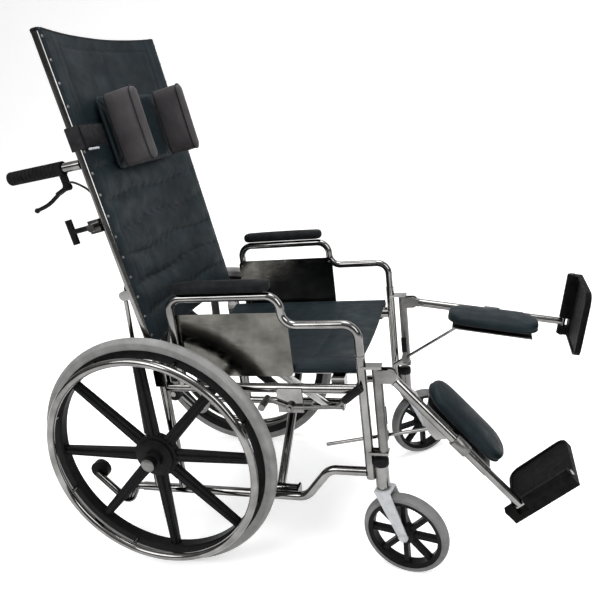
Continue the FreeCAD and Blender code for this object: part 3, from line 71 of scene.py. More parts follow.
def linked(name, data):
    """A new object in the scene, from its mesh, curve, lamp or camera."""
    thing = bpy.data.objects.new(name, data)
    bpy.context.scene.collection.objects.link(thing)
    return thing


photo_width, focal_pixels, sensor_width = 600.0, 626.0, 36.0
eye = from_axle(779.3, -1459.6, 1084.3)
eye_turn, eye_tilt, eye_roll = math.radians(17.57), math.radians(17.79), math.radians(-7.07)
look = Vector((
    -math.sin(eye_turn) * math.cos(eye_tilt),
    math.cos(eye_turn) * math.cos(eye_tilt),
    -math.sin(eye_tilt),
))
level = Vector((math.cos(eye_turn), math.sin(eye_turn), 0))
above = level.cross(look)
to_right = level * math.cos(eye_roll) + above * math.sin(eye_roll)
to_top = above * math.cos(eye_roll) - level * math.sin(eye_roll)
lens = bpy.data.cameras.new("photo_camera")
lens.sensor_width = sensor_width
lens.lens = sensor_width * focal_pixels / photo_width
camera = linked("photo_camera", lens)
camera.matrix_world = Matrix((
    (to_right.x, to_top.x, -look.x, eye.x),
    (to_right.y, to_top.y, -look.y, eye.y),
    (to_right.z, to_top.z, -look.z, eye.z),
    (0, 0, 0, 1),
))
bpy.context.scene.camera = camera


# Release cables: a black sheathed wire from each hand lever down the inner side of the cane to the
# lock of its cylinder. Both ends are held, and the sheath runs close along the tube between them.

def new_material(name):
    """A material with its Principled shader and the places to take textures from."""
    material = bpy.data.materials.new(name)
    material.use_nodes = True
    tree = material.node_tree
    shader = tree.nodes["Principled BSDF"]
    where = tree.nodes.new("ShaderNodeTexCoord")
    return material, tree, shader, where


def noise(tree, where, scale, detail=3.0, stretch=(1, 1, 1)):
    """A cloudy texture in the piece's own metres."""
    texture = tree.nodes.new("ShaderNodeTexNoise")
    texture.inputs["Scale"].default_value = scale
    texture.inputs["Detail"].default_value = detail
    mapping = tree.nodes.new("ShaderNodeMapping")
    mapping.inputs["Scale"].default_value = stretch
    tree.links.new(where.outputs["Object"], mapping.inputs["Vector"])
    tree.links.new(mapping.outputs["Vector"], texture.inputs["Vector"])
    return texture.outputs["Fac"]


def ramp(tree, factor, low, high, start=0.3, end=0.7):
    """Two colours, or two grey levels, along a texture."""
    stops = tree.nodes.new("ShaderNodeValToRGB")
    for stop, place, value in zip(stops.color_ramp.elements, (start, end), (low, high)):
        stop.position = place
        stop.color = (*value, 1) if isinstance(value, tuple) else (value, value, value, 1)
    tree.links.new(factor, stops.inputs["Fac"])
    return stops.outputs["Color"]


def bumped(tree, shader, factor, depth, strength=1.0):
    """Raise the surface by a texture, over a depth in metres."""
    bump = tree.nodes.new("ShaderNodeBump")
    bump.inputs["Distance"].default_value = depth
    bump.inputs["Strength"].default_value = strength
    tree.links.new(factor, bump.inputs["Height"])
    tree.links.new(bump.outputs["Normal"], shader.inputs["Normal"])


def moulded(name, dark, light, rough_low, rough_high, grain, depth, gloss=0.12):
    """Rubber, plastic or enamel: two close shades, uneven gloss and a fine grain."""
    material, tree, shader, where = new_material(name)
    shades = ramp(tree, noise(tree, where, 60), dark, light)
    tree.links.new(shades, shader.inputs["Base Color"])
    roughness = ramp(tree, noise(tree, where, 140), rough_low, rough_high)
    tree.links.new(roughness, shader.inputs["Roughness"])
    shader.inputs["Specular IOR Level"].default_value = gloss
    bumped(tree, shader, noise(tree, where, grain, 2), depth)
    return material


cane_y = 241.0
back_lean = math.radians(9.6)
recline_x, recline_z = 25, 505
back_place = Matrix.Translation(from_axle(recline_x, 0, recline_z)) @ Matrix.Rotation(-back_lean, 4, "Y")


def back_point(x, y, along):
    """A point of the back, in millimetres: ahead of the canes' axis, across, and up the canes."""
    return back_place @ Vector((x / 1000, y / 1000, along / 1000))


cable_route = (
    (-55.6, 241, 476.0), (-44.5, 241, 478.0), (-8.5, 221.9, 431.6), (-8.5, 221.9, 237.0),
    (-21.5, 234.6, 210.0))
cable_length, cable_diameter = 0.283, 0.005
cable_sheath = moulded("cable_sheath", (0.012, 0.012, 0.013), (0.03, 0.03, 0.032), 0.35, 0.5, 900, 0.0001)
for name, side in sides:
    route = [back_point(x, side * y, along) for x, y, along in cable_route]
    line = bpy.data.curves.new(f"{name}_release_cable_line", "CURVE")
    line.dimensions = "3D"
    line.bevel_depth = cable_diameter / 2
    line.bevel_resolution = 5
    spline = line.splines.new("NURBS")
    spline.points.add(len(route) - 1)
    for control, point in zip(spline.points, route):
        control.co = (*point, 1)
    spline.order_u = 3
    spline.use_endpoint_u = True
    cable = linked(f"{name}_release_cable_sheath", line)
    line.materials.append(cable_sheath)
    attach(cable, f"{name}_cane")
    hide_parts(f"{name}_release_cable")


# Chromed tubing: welded steel side frames, cross brace, canes, arms, legs and hand rims.
# The plating's colour is set far darker than real chrome, a painted dark reflection of a dim room, with
# slight waves from the bending and faint handling marks.

def plated(name, dark, light, rough_low, rough_high):
    """Bare or plated metal: cloudy shine, streaks of roughness and shallow waves."""
    material, tree, shader, where = new_material(name)
    shader.inputs["Metallic"].default_value = 1.0
    shades = ramp(tree, noise(tree, where, 18, 4), dark, light)
    tree.links.new(shades, shader.inputs["Base Color"])
    roughness = ramp(tree, noise(tree, where, 45, 5, (1, 1, 3)), rough_low, rough_high)
    tree.links.new(roughness, shader.inputs["Roughness"])
    bumped(tree, shader, noise(tree, where, 320, 3), 0.00012, 0.35)
    return material


def paint(material, *names):
    """Give carried-over solids one finish."""
    for node in names:
        mesh = nodes[node].data
        mesh.materials.clear()
        mesh.materials.append(material)


# chrome colour darkened to paint in dark reflections, not the plating's own colour
chrome_painted_dark_reflection = plated("chrome_painted_dark_reflection", (0.125, 0.123, 0.119), (0.245, 0.242, 0.236), 0.05, 0.16)
chromed_pieces = (
    "side_frame", "back_cane", "arm_frame", "leg_tube", "foot_tube", "anti_tip_tube", "hand_rim",
    "cylinder_rod", "lift_rod")
paint(chrome_painted_dark_reflection, "cross_brace_front", "cross_brace_rear", "spreader_bar")
for name, _ in sides:
    paint(chrome_painted_dark_reflection, *(f"{name}_{piece}" for piece in chromed_pieces))


# Forged and stamped pieces: leg hangers, rod clamps and wheel locks are zinc plated, the caster
# forks have silver enamel and the recline cylinders satin black. All are duller than the tubes.
# zinc colour set far darker than real zinc plating, a painted dark reflection
zinc = plated("zinc_steel_painted_dark", (0.095, 0.094, 0.091), (0.18, 0.178, 0.173), 0.26, 0.42)
silver = moulded("silver_enamel", (0.40, 0.41, 0.42), (0.50, 0.51, 0.53), 0.28, 0.4, 700, 0.00008)
satin_black = moulded(
    "satin_black_enamel", (0.012, 0.012, 0.013), (0.028, 0.028, 0.03), 0.3, 0.45, 800, 0.00008)
for name, _ in sides:
    paint(zinc, f"{name}_leg_hanger", f"{name}_lift_clamp", f"{name}_lock_lever")
    paint(silver, f"{name}_caster_fork")
    paint(satin_black, f"{name}_recline_cylinder")


# Mag wheels: one-piece black nylon mouldings with eight ribbed spokes, and solid tyres pressed on.
# The rear tyres are grey and non-marking, and the casters' are darker.

def tyre_rubber(name, dark, light, ribs):
    """Matte rubber with fine rings of tread round the tyre, whose axle runs along the piece's Y."""
    material, tree, shader, where = new_material(name)
    shades = ramp(tree, noise(tree, where, 26, 5), dark, light)
    tree.links.new(shades, shader.inputs["Base Color"])
    roughness = ramp(tree, noise(tree, where, 90), 0.62, 0.85)
    tree.links.new(roughness, shader.inputs["Roughness"])
    tread = tree.nodes.new("ShaderNodeTexWave")
    tread.wave_type = "BANDS"
    tread.bands_direction = "Y"
    tread.inputs["Scale"].default_value = ribs
    tread.inputs["Distortion"].default_value = 0.4
    tree.links.new(where.outputs["Object"], tread.inputs["Vector"])
    bumped(tree, shader, tread.outputs["Fac"], 0.0006, 0.6)
    return material


def finished(name, mesh, material):
    """A piece from its mesh, smooth shaded in one finish."""
    mesh.materials.clear()
    mesh.materials.append(material)
    mesh.polygons.foreach_set("use_smooth", [True] * len(mesh.polygons))
    return linked(name, mesh)


def link_mesh(name, points, faces, material):
    """A new piece from its points and faces, in the chair's frame."""
    mesh = bpy.data.meshes.new(name)
    mesh.from_pydata([tuple(point) for point in points], [], faces)
    mesh.update()
    return finished(name, mesh, material)


def lathe(name, outline, place, material, steps=40):
    """Turn an outline of radius and height, in millimetres, about the place's own Z axis."""
    points, faces = [], []
    count = len(outline)
    for step in range(steps):
        turn = 2 * math.pi * step / steps
        for radius, height in outline:
            flat = Vector((radius * math.cos(turn), radius * math.sin(turn), height)) / 1000
            points.append(place @ flat)
    for step in range(steps):
        here, there = step * count, (step + 1) % steps * count
        for i in range(count - 1):
            faces.append((here + i, there + i, there + i + 1, here + i + 1))
    faces.append(tuple(step * count for step in reversed(range(steps))))
    faces.append(tuple(step * count + count - 1 for step in range(steps)))
    return link_mesh(name, points, faces, material)


def box_round(name, low, high, radius, place, material, segments=4):
    """A block with rounded edges, from two corners in millimetres in the place's own frame."""
    low, high = Vector(low), Vector(high)
    shape = bmesh.new()
    bmesh.ops.create_cube(shape, size=1.0)
    for vertex in shape.verts:
        corner = [(low[i] + high[i]) / 2 + vertex.co[i] * (high[i] - low[i]) for i in range(3)]
        vertex.co = Vector(corner) / 1000
    bmesh.ops.bevel(
        shape, geom=list(shape.edges), offset=radius / 1000, segments=segments, profile=0.5, affect="EDGES")
    shape.transform(place)
    mesh = bpy.data.meshes.new(name)
    shape.to_mesh(mesh)
    shape.free()
    return finished(name, mesh, material)


def pivot(joint):
    """A joint's point on its axis, as the frame gives it."""
    return Vector(next(each["pos_m"] for each in frame["joints"] if each["name"] == joint))


mag_black = moulded(
    "mag_wheel_nylon", (0.004, 0.004, 0.0045), (0.008, 0.008, 0.0086), 0.3, 0.46, 600, 0.0001, gloss=0.05)
grey_tyre = tyre_rubber("grey_tyre_rubber", (0.15, 0.149, 0.147), (0.235, 0.233, 0.23), 70)
dark_tyre = tyre_rubber("dark_tyre_rubber", (0.10, 0.10, 0.10), (0.17, 0.17, 0.17), 60)
cap_black = moulded(
    "cap_plastic", (0.005, 0.005, 0.0055), (0.011, 0.011, 0.012), 0.3, 0.45, 500, 0.0001, gloss=0.06)
spoke_count = 8
rib_start, rib_end, rib_half_width = 52, 259, 4.5
rib_base, rib_top, rib_edge = 5.0, 9.5, 2.0
hub_outline = ((24, 16.8), (46, 14.2), (48, 15.5), (46, 17.2), (26, 19.5), (23, 19.5))
axle_cap_outline = ((16.2, 50.5), (16.6, 51), (16.6, 50.9), (15.5, 51.6), (9, 53.2), (1, 53.6))
housing_top = 0.290
housing_plug_outline = ((17.6, -14), (17.9, -13), (17.9, -1), (16.8, 2.6), (12, 4.6), (1, 5.2))
for name, side in sides:
    paint(mag_black, f"{name}_rear_wheel", f"{name}_caster_wheel")
    paint(grey_tyre, f"{name}_rear_tyre")
    paint(cap_black, f"{name}_anti_tip_roller")
    paint(dark_tyre, f"{name}_caster_tyre")
    # a raised rib along the middle of each spoke's outer face
    axle = pivot(f"{name}_wheel_spin")
    face_out = Matrix.Translation(axle) @ Matrix.Rotation(math.radians(-90 * side), 4, "X")
    for spoke in range(spoke_count):
        turned = face_out @ Matrix.Rotation(2 * math.pi * spoke / spoke_count, 4, "Z")
        rib = box_round(f"{name}_spoke_rib_{spoke}", (rib_start, -rib_half_width, rib_base),
                        (rib_end, rib_half_width, rib_top), rib_edge, turned, mag_black, segments=3)
        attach(rib, f"{name}_wheel")
    hub_ring = lathe(f"{name}_hub_ring", hub_outline, face_out, mag_black)
    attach(hub_ring, f"{name}_wheel")
    cap = lathe(f"{name}_axle_cap", axle_cap_outline, face_out, zinc)
    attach(cap, f"{name}_frame")
    # the caster housing's plug, over the top of the stem
    stem = pivot(f"{name}_caster_swivel")
    housing = Matrix.Translation(Vector((stem.x, stem.y, housing_top)))
    plug = lathe(f"{name}_housing_plug", housing_plug_outline, housing, cap_black)
    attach(plug, f"{name}_frame")


# Grips, levers and knobs: ribbed rubber push grips, moulded nylon levers and clamp knobs, and
# plastic footplates. The steel handles of the wheel locks and rod clamps end in black plastic.
grip_rubber = moulded(
    "grip_rubber", (0.004, 0.004, 0.0045), (0.01, 0.01, 0.0105), 0.55, 0.75, 1100, 0.0002, gloss=0.06)
plate_plastic = moulded(
    "footplate_plastic", (0.002, 0.0022, 0.002), (0.006, 0.0066, 0.006), 0.5, 0.68, 420, 0.0004, gloss=0.04)
lever_nylon = moulded(
    "lever_nylon", (0.004, 0.004, 0.0045), (0.01, 0.01, 0.011), 0.32, 0.5, 700, 0.0001, gloss=0.06)
cane_top = 789
cane_plug_outline = ((11.2, -6), (11.6, -5), (11.6, 0.4), (10.6, 1.8), (6, 2.6), (0.5, 2.8))
lock_handle_y = 261.5
lock_handle_outline = ((7.6, -44), (9.1, -42), (9.3, -20), (9.6, 4), (9.2, 9), (6.5, 11.4), (0.5, 11.9))
clamp_handle_half, clamp_handle_low, clamp_handle_high = 7.4, 22, 68
clamp_handle_outer, clamp_handle_inner, clamp_handle_edge = 7.0, 15.2, 3.2
for name, side in sides:
    paint(grip_rubber, f"{name}_hand_grip")
    paint(lever_nylon, f"{name}_release_lever", f"{name}_t_knob")
    paint(plate_plastic, f"{name}_footplate")
    # black plug in the top of the cane
    top = back_place @ Matrix.Translation(Vector((0, side * cane_y, cane_top)) / 1000)
    plug = lathe(f"{name}_cane_plug", cane_plug_outline, top, cap_black)
    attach(plug, f"{name}_cane")
    # dipped end of the wheel lock's handle, from its bend to its tip
    bend = from_axle(452, side * lock_handle_y, 429)
    tip = from_axle(505, side * lock_handle_y, 472)
    run = (tip - bend).normalized()
    aim = Matrix.Translation(tip) @ run.to_track_quat("Z", "Y").to_matrix().to_4x4()
    dip = lathe(f"{name}_lock_handle", lock_handle_outline, aim, cap_black)
    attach(dip, f"{name}_lock")
    # moulded end of the rod clamp's handle, on the inner side of its pivot
    upright = Matrix.Translation(pivot(f"{name}_clamp_pivot"))
    low_y, high_y = sorted((-side * clamp_handle_outer, -side * clamp_handle_inner))
    handle = box_round(f"{name}_clamp_handle", (-clamp_handle_half, low_y, clamp_handle_low),
                       (clamp_handle_half, high_y, clamp_handle_high), clamp_handle_edge, upright,
                       lever_nylon)
    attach(handle, f"{name}_clamp")


# Skirt panels: thin polished aluminium sheets inside the arms, which keep clothes off the wheels.
# Six button-head screws hold each sheet. The sheets' dark, warm colour is a painted reflection of the wheels
# and tyres.
polished = plated("polished_sheet_painted_reflection", (0.06, 0.06, 0.053), (0.145, 0.142, 0.128), 0.1, 0.26)
panel_y = 229.8
panel_screws = ((78, 560), (78, 628), (345, 630), (212, 634), (338, 500), (104, 500))
button_head = ((3.8, -0.2), (3.8, 0.6), (2.9, 1.5), (0.4, 1.8))
for name, side in sides:
    paint(polished, f"{name}_skirt_panel")
    inward = Matrix.Rotation(math.radians(90 * side), 4, "X")
    for spot, (x, z) in enumerate(panel_screws):
        place = Matrix.Translation(from_axle(x, side * panel_y, z)) @ inward
        head = lathe(f"{name}_panel_screw_{spot}", button_head, place, zinc, steps=20)
        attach(head, f"{name}_arm")


# Back sling: two layers of charcoal vinyl over thin foam, quilted in cross channels and lapped
# round the canes. It hangs slack between the canes, with a plain stitched panel at the top.

def vinyl(name, dark, light, sheen):
    """Soft grained vinyl: leather-like cells, faint clouds and a satin shine, smoother in places."""
    material, tree, shader, where = new_material(name)
    shades = ramp(tree, noise(tree, where, 14, 5), dark, light)
    tree.links.new(shades, shader.inputs["Base Color"])
    roughness = ramp(tree, noise(tree, where, 30, 4), 0.46, 0.66)
    tree.links.new(roughness, shader.inputs["Roughness"])
    shader.inputs["Sheen Weight"].default_value = sheen
    shader.inputs["Specular IOR Level"].default_value = 0.15
    cells = tree.nodes.new("ShaderNodeTexVoronoi")
    cells.inputs["Scale"].default_value = 620
    tree.links.new(where.outputs["Object"], cells.inputs["Vector"])
    creases = noise(tree, where, 55, 4, (1, 1, 2.4))
    mix = tree.nodes.new("ShaderNodeMath")
    mix.operation = "MULTIPLY_ADD"
    mix.inputs[1].default_value = 0.35
    tree.links.new(cells.outputs["Distance"], mix.inputs[0])
    tree.links.new(creases, mix.inputs[2])
    bumped(tree, shader, mix.outputs[0], 0.0009, 0.55)
    return material


def even(low, high, count):
    """Evenly spaced values from low to high, in a count of steps."""
    return [low + (high - low) * i / count for i in range(count + 1)]


def ring_sheet(name, rings, material):
    """A closed quilted sheet from its cross-section rings, one for each step along it."""
    count = len(rings[0])
    points = [point for ring in rings for point in ring]
    faces = []
    for step in range(len(rings) - 1):
        here, there = step * count, (step + 1) * count
        for i in range(count):
            j = (i + 1) % count
            faces.append((here + i, here + j, there + j, there + i))
    faces.append(tuple(reversed(range(count))))
    last = (len(rings) - 1) * count
    faces.append(tuple(range(last, last + count)))
    return link_mesh(name, points, faces, material)


def lap(radius, lap_turn, tube_y, along):
    """The line of a sling's edge round its left tube, from the tube's front or top."""
    turns = even(0, math.radians(lap_turn), 8)[1:]
    return [(radius * math.cos(turn), tube_y + radius * math.sin(turn), along) for turn in turns]


def lapped_ring(face, rear, outer, inner):
    """A sling's cross-section: its face, the laps round both tubes and its rear."""
    outer_right, inner_right = ([(x, -y, z) for x, y, z in left] for left in (outer, inner))
    return outer_right[::-1] + face + outer + inner[::-1] + rear[::-1] + inner_right


def quilt(share, channels):
    """The rise of sewn channels at a share of the sheet's length: round, with tight seam lines."""
    phase = share * channels % 1.0
    return math.sin(math.pi * phase) ** 0.55


def groove(distance, width):
    """How deep a stitched line draws the cloth in, as a share, at a distance from it."""
    return math.exp(-(distance / width) ** 2)


charcoal = vinyl("charcoal_vinyl", (0.0026, 0.0062, 0.0085), (0.0062, 0.0132, 0.0175), 0.01)
piping_vinyl = vinyl("piping_vinyl", (0.004, 0.005, 0.006), (0.009, 0.011, 0.013), 0.02)
thread = moulded("dark_thread", (0.03, 0.034, 0.038), (0.055, 0.06, 0.066), 0.7, 0.85, 2000, 0.0001)
back_low, back_high, quilt_top = 70.0, 788.7, 560.0
back_channels = 7
back_slack, extra_slack = 20.0, 2.5
face_out_from_cane = 14.2
back_lap_outer, back_lap_inner, back_lap_turn = 14.0, 11.6, 34
edge_seams, panel_seams = (-0.9, 0.9), (-0.8, 0.8)
panel_low_seam, panel_top_seam = quilt_top + 30, back_high - 34
dip_start, dip_depth = 700, 7.0


def back_sag(across, along):
    """How far the sling sinks behind the line between the canes. Across runs from -1 to 1."""
    share = (along - back_low) / (back_high - back_low)
    return (back_slack + extra_slack * math.sin(math.pi * share)) * (1 - across * across)


def top_dip(across, along):
    """How far the sling's top edge hangs down between the canes."""
    share = max(0.0, (along - dip_start) / (back_high - dip_start))
    return dip_depth * share ** 2 * (1 - across * across)


def seam_wander(across, share):
    """How far a hand-guided seam wanders up or down, as a share of the quilted length."""
    return 0.012 * math.sin(5.2 * across + 9 * share) * math.sin(math.pi * share)


def back_face(across, along):
    """The back sling's front face ahead of the canes' axis, in millimetres."""
    middle = 1 - across * across
    fade = max(0.0, 1 - abs(across) ** 10)
    wrinkle = 1.1 * math.sin(along * 0.083 + 3.1 * across) * math.sin(along * 0.031 - 5.3 * across + 1.1)
    if along < quilt_top:
        share = (along - back_low) / (quilt_top - back_low)
        share += seam_wander(across, share)
        puff = 8.5 * quilt(min(max(share, 0.0), 1.0), back_channels)
        # short gathers run off the seams where the thread draws the cloth in
        pull = abs((share * back_channels + 0.5) % 1.0 - 0.5)
        puff += 0.6 * groove(pull, 0.14) * math.sin(across * 47 + 7 * math.sin(share * 22))
    else:
        puff = 2.4 * math.sin(math.pi * (along - quilt_top) / (back_high - quilt_top)) ** 0.3
        for line in panel_seams:
            puff -= 1.6 * groove(across - line, 0.012)
        for seam in (panel_low_seam, panel_top_seam):
            puff -= 1.6 * groove(along - seam, 3.0) * (abs(across) < panel_seams[1])
    for line in edge_seams:
        puff -= 1.1 * groove(across - line, 0.012)
    return face_out_from_cane - back_sag(across, along) + (puff + wrinkle * middle) * fade


def back_ring(along):
    """One cross-section of the back sling, at a height up the canes."""
    face, rear = [], []
    for across in even(-1, 1, 96):
        drop = along - top_dip(across, along)
        face.append((back_face(across, along), cane_y * across, drop))
        rear.append((back_lap_inner - back_sag(across, along), cane_y * across, drop))
    outer, inner = (lap(radius, back_lap_turn, cane_y, along) for radius in (back_lap_outer, back_lap_inner))
    return [back_point(*point) for point in lapped_ring(face, rear, outer, inner)]


back_rings = [back_ring(along) for along in even(back_low, back_high, 190)]
back = ring_sheet("back_sling_cover", back_rings, charcoal)
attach(back, "right_cane")
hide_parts("back_sling")
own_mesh(back)


def tube_along(name, points, radius, material):
    """A thin round piping or rod along a line of points."""
    line = bpy.data.curves.new(name + "_line", "CURVE")
    line.dimensions = "3D"
    line.bevel_depth = radius
    line.bevel_resolution = 2
    line.use_fill_caps = True
    spline = line.splines.new("POLY")
    spline.points.add(len(points) - 1)
    for control, point in zip(spline.points, points):
        control.co = (*point, 1)
    holder = linked(name + "_holder", line)
    drawn = holder.evaluated_get(bpy.context.evaluated_depsgraph_get())
    mesh = bpy.data.meshes.new_from_object(drawn)
    bpy.data.objects.remove(holder)
    mesh.name = name
    return finished(name, mesh, material)


stitch_length, stitch_gap, thread_radius = 0.0042, 0.0016, 0.00045


def stitches(name, lines):
    """Rows of short thread stitches along lines of points."""
    half, corners = stitch_length / 2, 6
    rows = ((-half, 0.3), (-half / 2, 1.0), (half / 2, 1.0), (half, 0.3))
    points, faces = [], []
    for line in lines:
        travelled = 0.0
        for start, end in zip(line, line[1:]):
            run = end - start
            travelled += run.length
            if travelled < stitch_length + stitch_gap:
                continue
            travelled = 0.0
            along = run.normalized()
            cross = along.orthogonal().normalized()
            other = along.cross(cross)
            first = len(points)
            for distance, size in rows:
                for corner in range(corners):
                    turn = 2 * math.pi * corner / corners
                    offset = (cross * math.cos(turn) + other * math.sin(turn)) * thread_radius * size
                    points.append(end + along * distance + offset)
            for row in range(len(rows) - 1):
                here, there = first + row * corners, first + (row + 1) * corners
                for corner in range(corners):
                    after = (corner + 1) % corners
                    faces.append((here + corner, here + after, there + after, there + corner))
            last = first + (len(rows) - 1) * corners
            faces.append(tuple(first + i for i in reversed(range(corners))))
            faces.append(tuple(last + i for i in range(corners)))
    return link_mesh(name, points, faces, thread)


def on_back(across, along, proud):
    """A point a little proud of the back sling's face, in millimetres, or sunk in it."""
    return back_point(back_face(across, along) + proud, cane_y * across, along - top_dip(across, along))


def channel_seam(number):
    """The wavy line of a sewn seam across the sling, at the bottom of its groove."""
    line = []
    for across in even(-0.89, 0.89, 120):
        share = number / back_channels
        for settle in range(4):
            share = number / back_channels - seam_wander(across, share)
        line.append(on_back(across, back_low + share * (quilt_top - back_low), 0.4))
    return line


top_edge = [on_back(across, back_high - 1.5, -1.0) for across in even(-1, 1, 80)]
low_edge = [on_back(across, back_low + 1.5, -1.0) for across in even(-1, 1, 80)]
seam_rows = [[on_back(line, along, 0.1) for along in even(back_low + 4, back_high - 4, 1000)]
             for line in edge_seams]
seam_rows += [[on_back(line, along, 0.1) for along in even(panel_low_seam, panel_top_seam, 300)]
              for line in panel_seams]
seam_rows += [[on_back(across, along, 0.1) for across in even(*panel_seams, 600)]
              for along in (panel_low_seam, panel_top_seam)]
# dark cords along the sewn seams, a painted shade of the seam grooves
trims = [tube_along(f"back_seam_{number}", channel_seam(number), 0.0018, piping_vinyl)
         for number in range(1, back_channels)]
trims.append(tube_along("back_top_piping", top_edge, 0.0026, piping_vinyl))
trims.append(tube_along("back_low_piping", low_edge, 0.0024, piping_vinyl))
trims.append(stitches("back_stitches", seam_rows))
for trim in trims:
    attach(trim, "right_cane")
    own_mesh(trim)

# screws with cup washers down each edge, where the sling is fixed to the front of its cane
screw_count, first_screw, screw_pitch = 15, 92, 48.5
screw_turn, screw_out = math.radians(16), 0.0137
cup_screw = ((3.4, -0.8), (3.4, 0.2), (2.8, 0.7), (2.2, 0.5), (1.9, 1.1), (0.4, 1.4))
screw_seat = Matrix.Translation(Vector((screw_out, 0, 0))) @ Matrix.Rotation(math.radians(90), 4, "Y")
for name, side in sides:
    lean = Matrix.Rotation(side * screw_turn, 4, "Z")
    for spot in range(screw_count):
        on_axis = Vector((0, side * cane_y, first_screw + spot * screw_pitch)) / 1000
        place = back_place @ Matrix.Translation(on_axis) @ lean @ screw_seat
        screw = lathe(f"{name}_sling_screw_{spot}", cup_screw, place, zinc, steps=20)
        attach(screw, f"{name}_cane")


# Seat sling: the same vinyl in wide channels, lapped over both seat rails, with a bound front edge.
seat_low, seat_high, rail_y, rail_z = 50.0, 500.0, 207.0, 497.0
seat_channels, seat_slack = 4, 16.0
seat_lap_outer, seat_lap_inner, seat_lap_turn = 19.2, 11.6, 92


def seat_face(across, along):
    """The seat sling's top face above the rails' axis, in millimetres. Across runs from -1 to 1."""
    share = (along - seat_low) / (seat_high - seat_low)
    puff = 3.0 * quilt(share, seat_channels)
    puff += 0.6 * math.sin(along * 0.06 + 4 * across) * math.sin(along * 0.021 - 3 * across)
    for line in edge_seams:
        puff -= 1.2 * groove(across - line, 0.014)
    return seat_lap_outer - seat_slack * (1 - across * across) + puff * max(0.0, 1 - abs(across) ** 8)


def seat_point(up, y, along):
    """A point of the seat, in millimetres: above the rails' axis, across, and ahead of the axle."""
    return from_axle(along, y, rail_z + up)


def seat_ring(along):
    """One cross-section of the seat sling, at a place along the rails."""
    face, rear = [], []
    for across in even(-1, 1, 80):
        face.append((seat_face(across, along), rail_y * across, along))
        rear.append((seat_lap_inner - seat_slack * (1 - across * across), rail_y * across, along))
    outer, inner = (lap(radius, seat_lap_turn, rail_y, along) for radius in (seat_lap_outer, seat_lap_inner))
    return [seat_point(*point) for point in reversed(lapped_ring(face, rear, outer, inner))]


seat_rings = [seat_ring(along) for along in even(seat_low, seat_high, 120)]
seat = ring_sheet("seat_sling_cover", seat_rings, charcoal)
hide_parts("seat_sling")
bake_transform(seat)
seat_edge = [seat_point(seat_face(across, seat_high - 1.5) - 3.0, rail_y * across, seat_high - 1)
             for across in even(-1, 1, 60)]
seat_seams = [[seat_point(seat_face(line, along) + 0.1, rail_y * line, along)
               for along in even(seat_low + 4, seat_high - 4, 1000)] for line in edge_seams]
for trim in (tube_along("seat_front_piping", seat_edge, 0.0034, piping_vinyl),
             stitches("seat_stitches", seat_seams)):
    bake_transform(trim)


# Calf pads: oblong foam pads in sewn vinyl covers, with a welt round the rim. Each lies on a steel
# plate, whose collar turns on the leg tube. A cover is blown up from a slightly smaller block.

def swollen(trial, rest, held_below):
    """The points of a cover after its cloth is blown up, with the points near its base held."""
    held = trial.vertex_groups.new(name="held")
    held.add([index for index, point in enumerate(rest) if point[2] < held_below], 1.0, "REPLACE")
    cloth = trial.modifiers.new("cover", "CLOTH")
    cloth.settings.quality = 5
    cloth.settings.mass = 0.25
    cloth.settings.tension_stiffness = 12
    cloth.settings.compression_stiffness = 12
    cloth.settings.bending_stiffness = 0.6
    cloth.settings.use_pressure = True
    cloth.settings.uniform_pressure_force = 4.0
    cloth.settings.effector_weights.gravity = 0.0
    cloth.settings.vertex_group_mass = "held"
    cloth.collision_settings.use_collision = False
    scene = bpy.context.scene
    for step in range(1, 19):
        scene.frame_set(step)
    blown = trial.evaluated_get(bpy.context.evaluated_depsgraph_get()).to_mesh()
    moved = np.array([vertex.co for vertex in blown.vertices])
    scene.frame_set(1)
    return moved


def stuffed(name, size, corner, edge, swell):
    """A stuffed pad's points and faces about its base's middle, from length, width and thickness."""
    length, width, thick = size
    block = bmesh.new()
    bmesh.ops.create_cube(block, size=1.0)
    inset = swell * 0.8
    for vertex in block.verts:
        vertex.co = Vector((
            vertex.co.x * (length - 2 * inset),
            vertex.co.y * (width - 2 * inset),
            inset + (vertex.co.z + 0.5) * (thick - 2 * inset),
        ))
    upright = [e for e in block.edges if abs((e.verts[0].co - e.verts[1].co).normalized().z) > 0.9]
    bmesh.ops.bevel(block, geom=upright, offset=corner, segments=8, profile=0.5, affect="EDGES")
    rims = [e for e in block.edges
            if abs(e.verts[0].co.z - e.verts[1].co.z) < 1e-6 and len(e.link_faces) == 2
            and abs(e.link_faces[0].normal.z - e.link_faces[1].normal.z) > 0.5]
    bmesh.ops.bevel(block, geom=rims, offset=edge, segments=4, profile=0.5, affect="EDGES")
    bmesh.ops.triangulate(block, faces=block.faces)
    mesh = bpy.data.meshes.new(name + "_block")
    block.to_mesh(mesh)
    block.free()
    trial = linked(name + "_block", mesh)
    remesh = trial.modifiers.new("remesh", "REMESH")
    remesh.mode = "VOXEL"
    remesh.voxel_size = 0.005
    grid = bpy.data.meshes.new_from_object(trial.evaluated_get(bpy.context.evaluated_depsgraph_get()))
    trial.modifiers.clear()
    trial.data = grid
    rest = np.array([vertex.co for vertex in grid.vertices])
    moved = swollen(trial, rest, inset + 0.004)
    step = moved - rest
    far = np.linalg.norm(step, axis=1, keepdims=True)
    moved = rest + step * np.minimum(1.0, swell / np.maximum(far, 1e-9))
    half = np.array([length / 2, width / 2])
    moved[:, :2] = np.clip(moved[:, :2], -half, half)
    moved[:, 2] = np.clip(moved[:, 2], 0.0, thick)
    faces = [tuple(polygon.vertices) for polygon in grid.polygons]
    bpy.data.objects.remove(trial)
    return moved, faces


def place_pad(name, pad, place, material):
    """Set a made pad in its place on the chair."""
    points, faces = pad
    piece = link_mesh(name, [place @ Vector(point) for point in points], faces, material)
    smooth = piece.modifiers.new("smooth", "SUBSURF")
    smooth.levels = 1
    smooth.render_levels = 1
    return piece


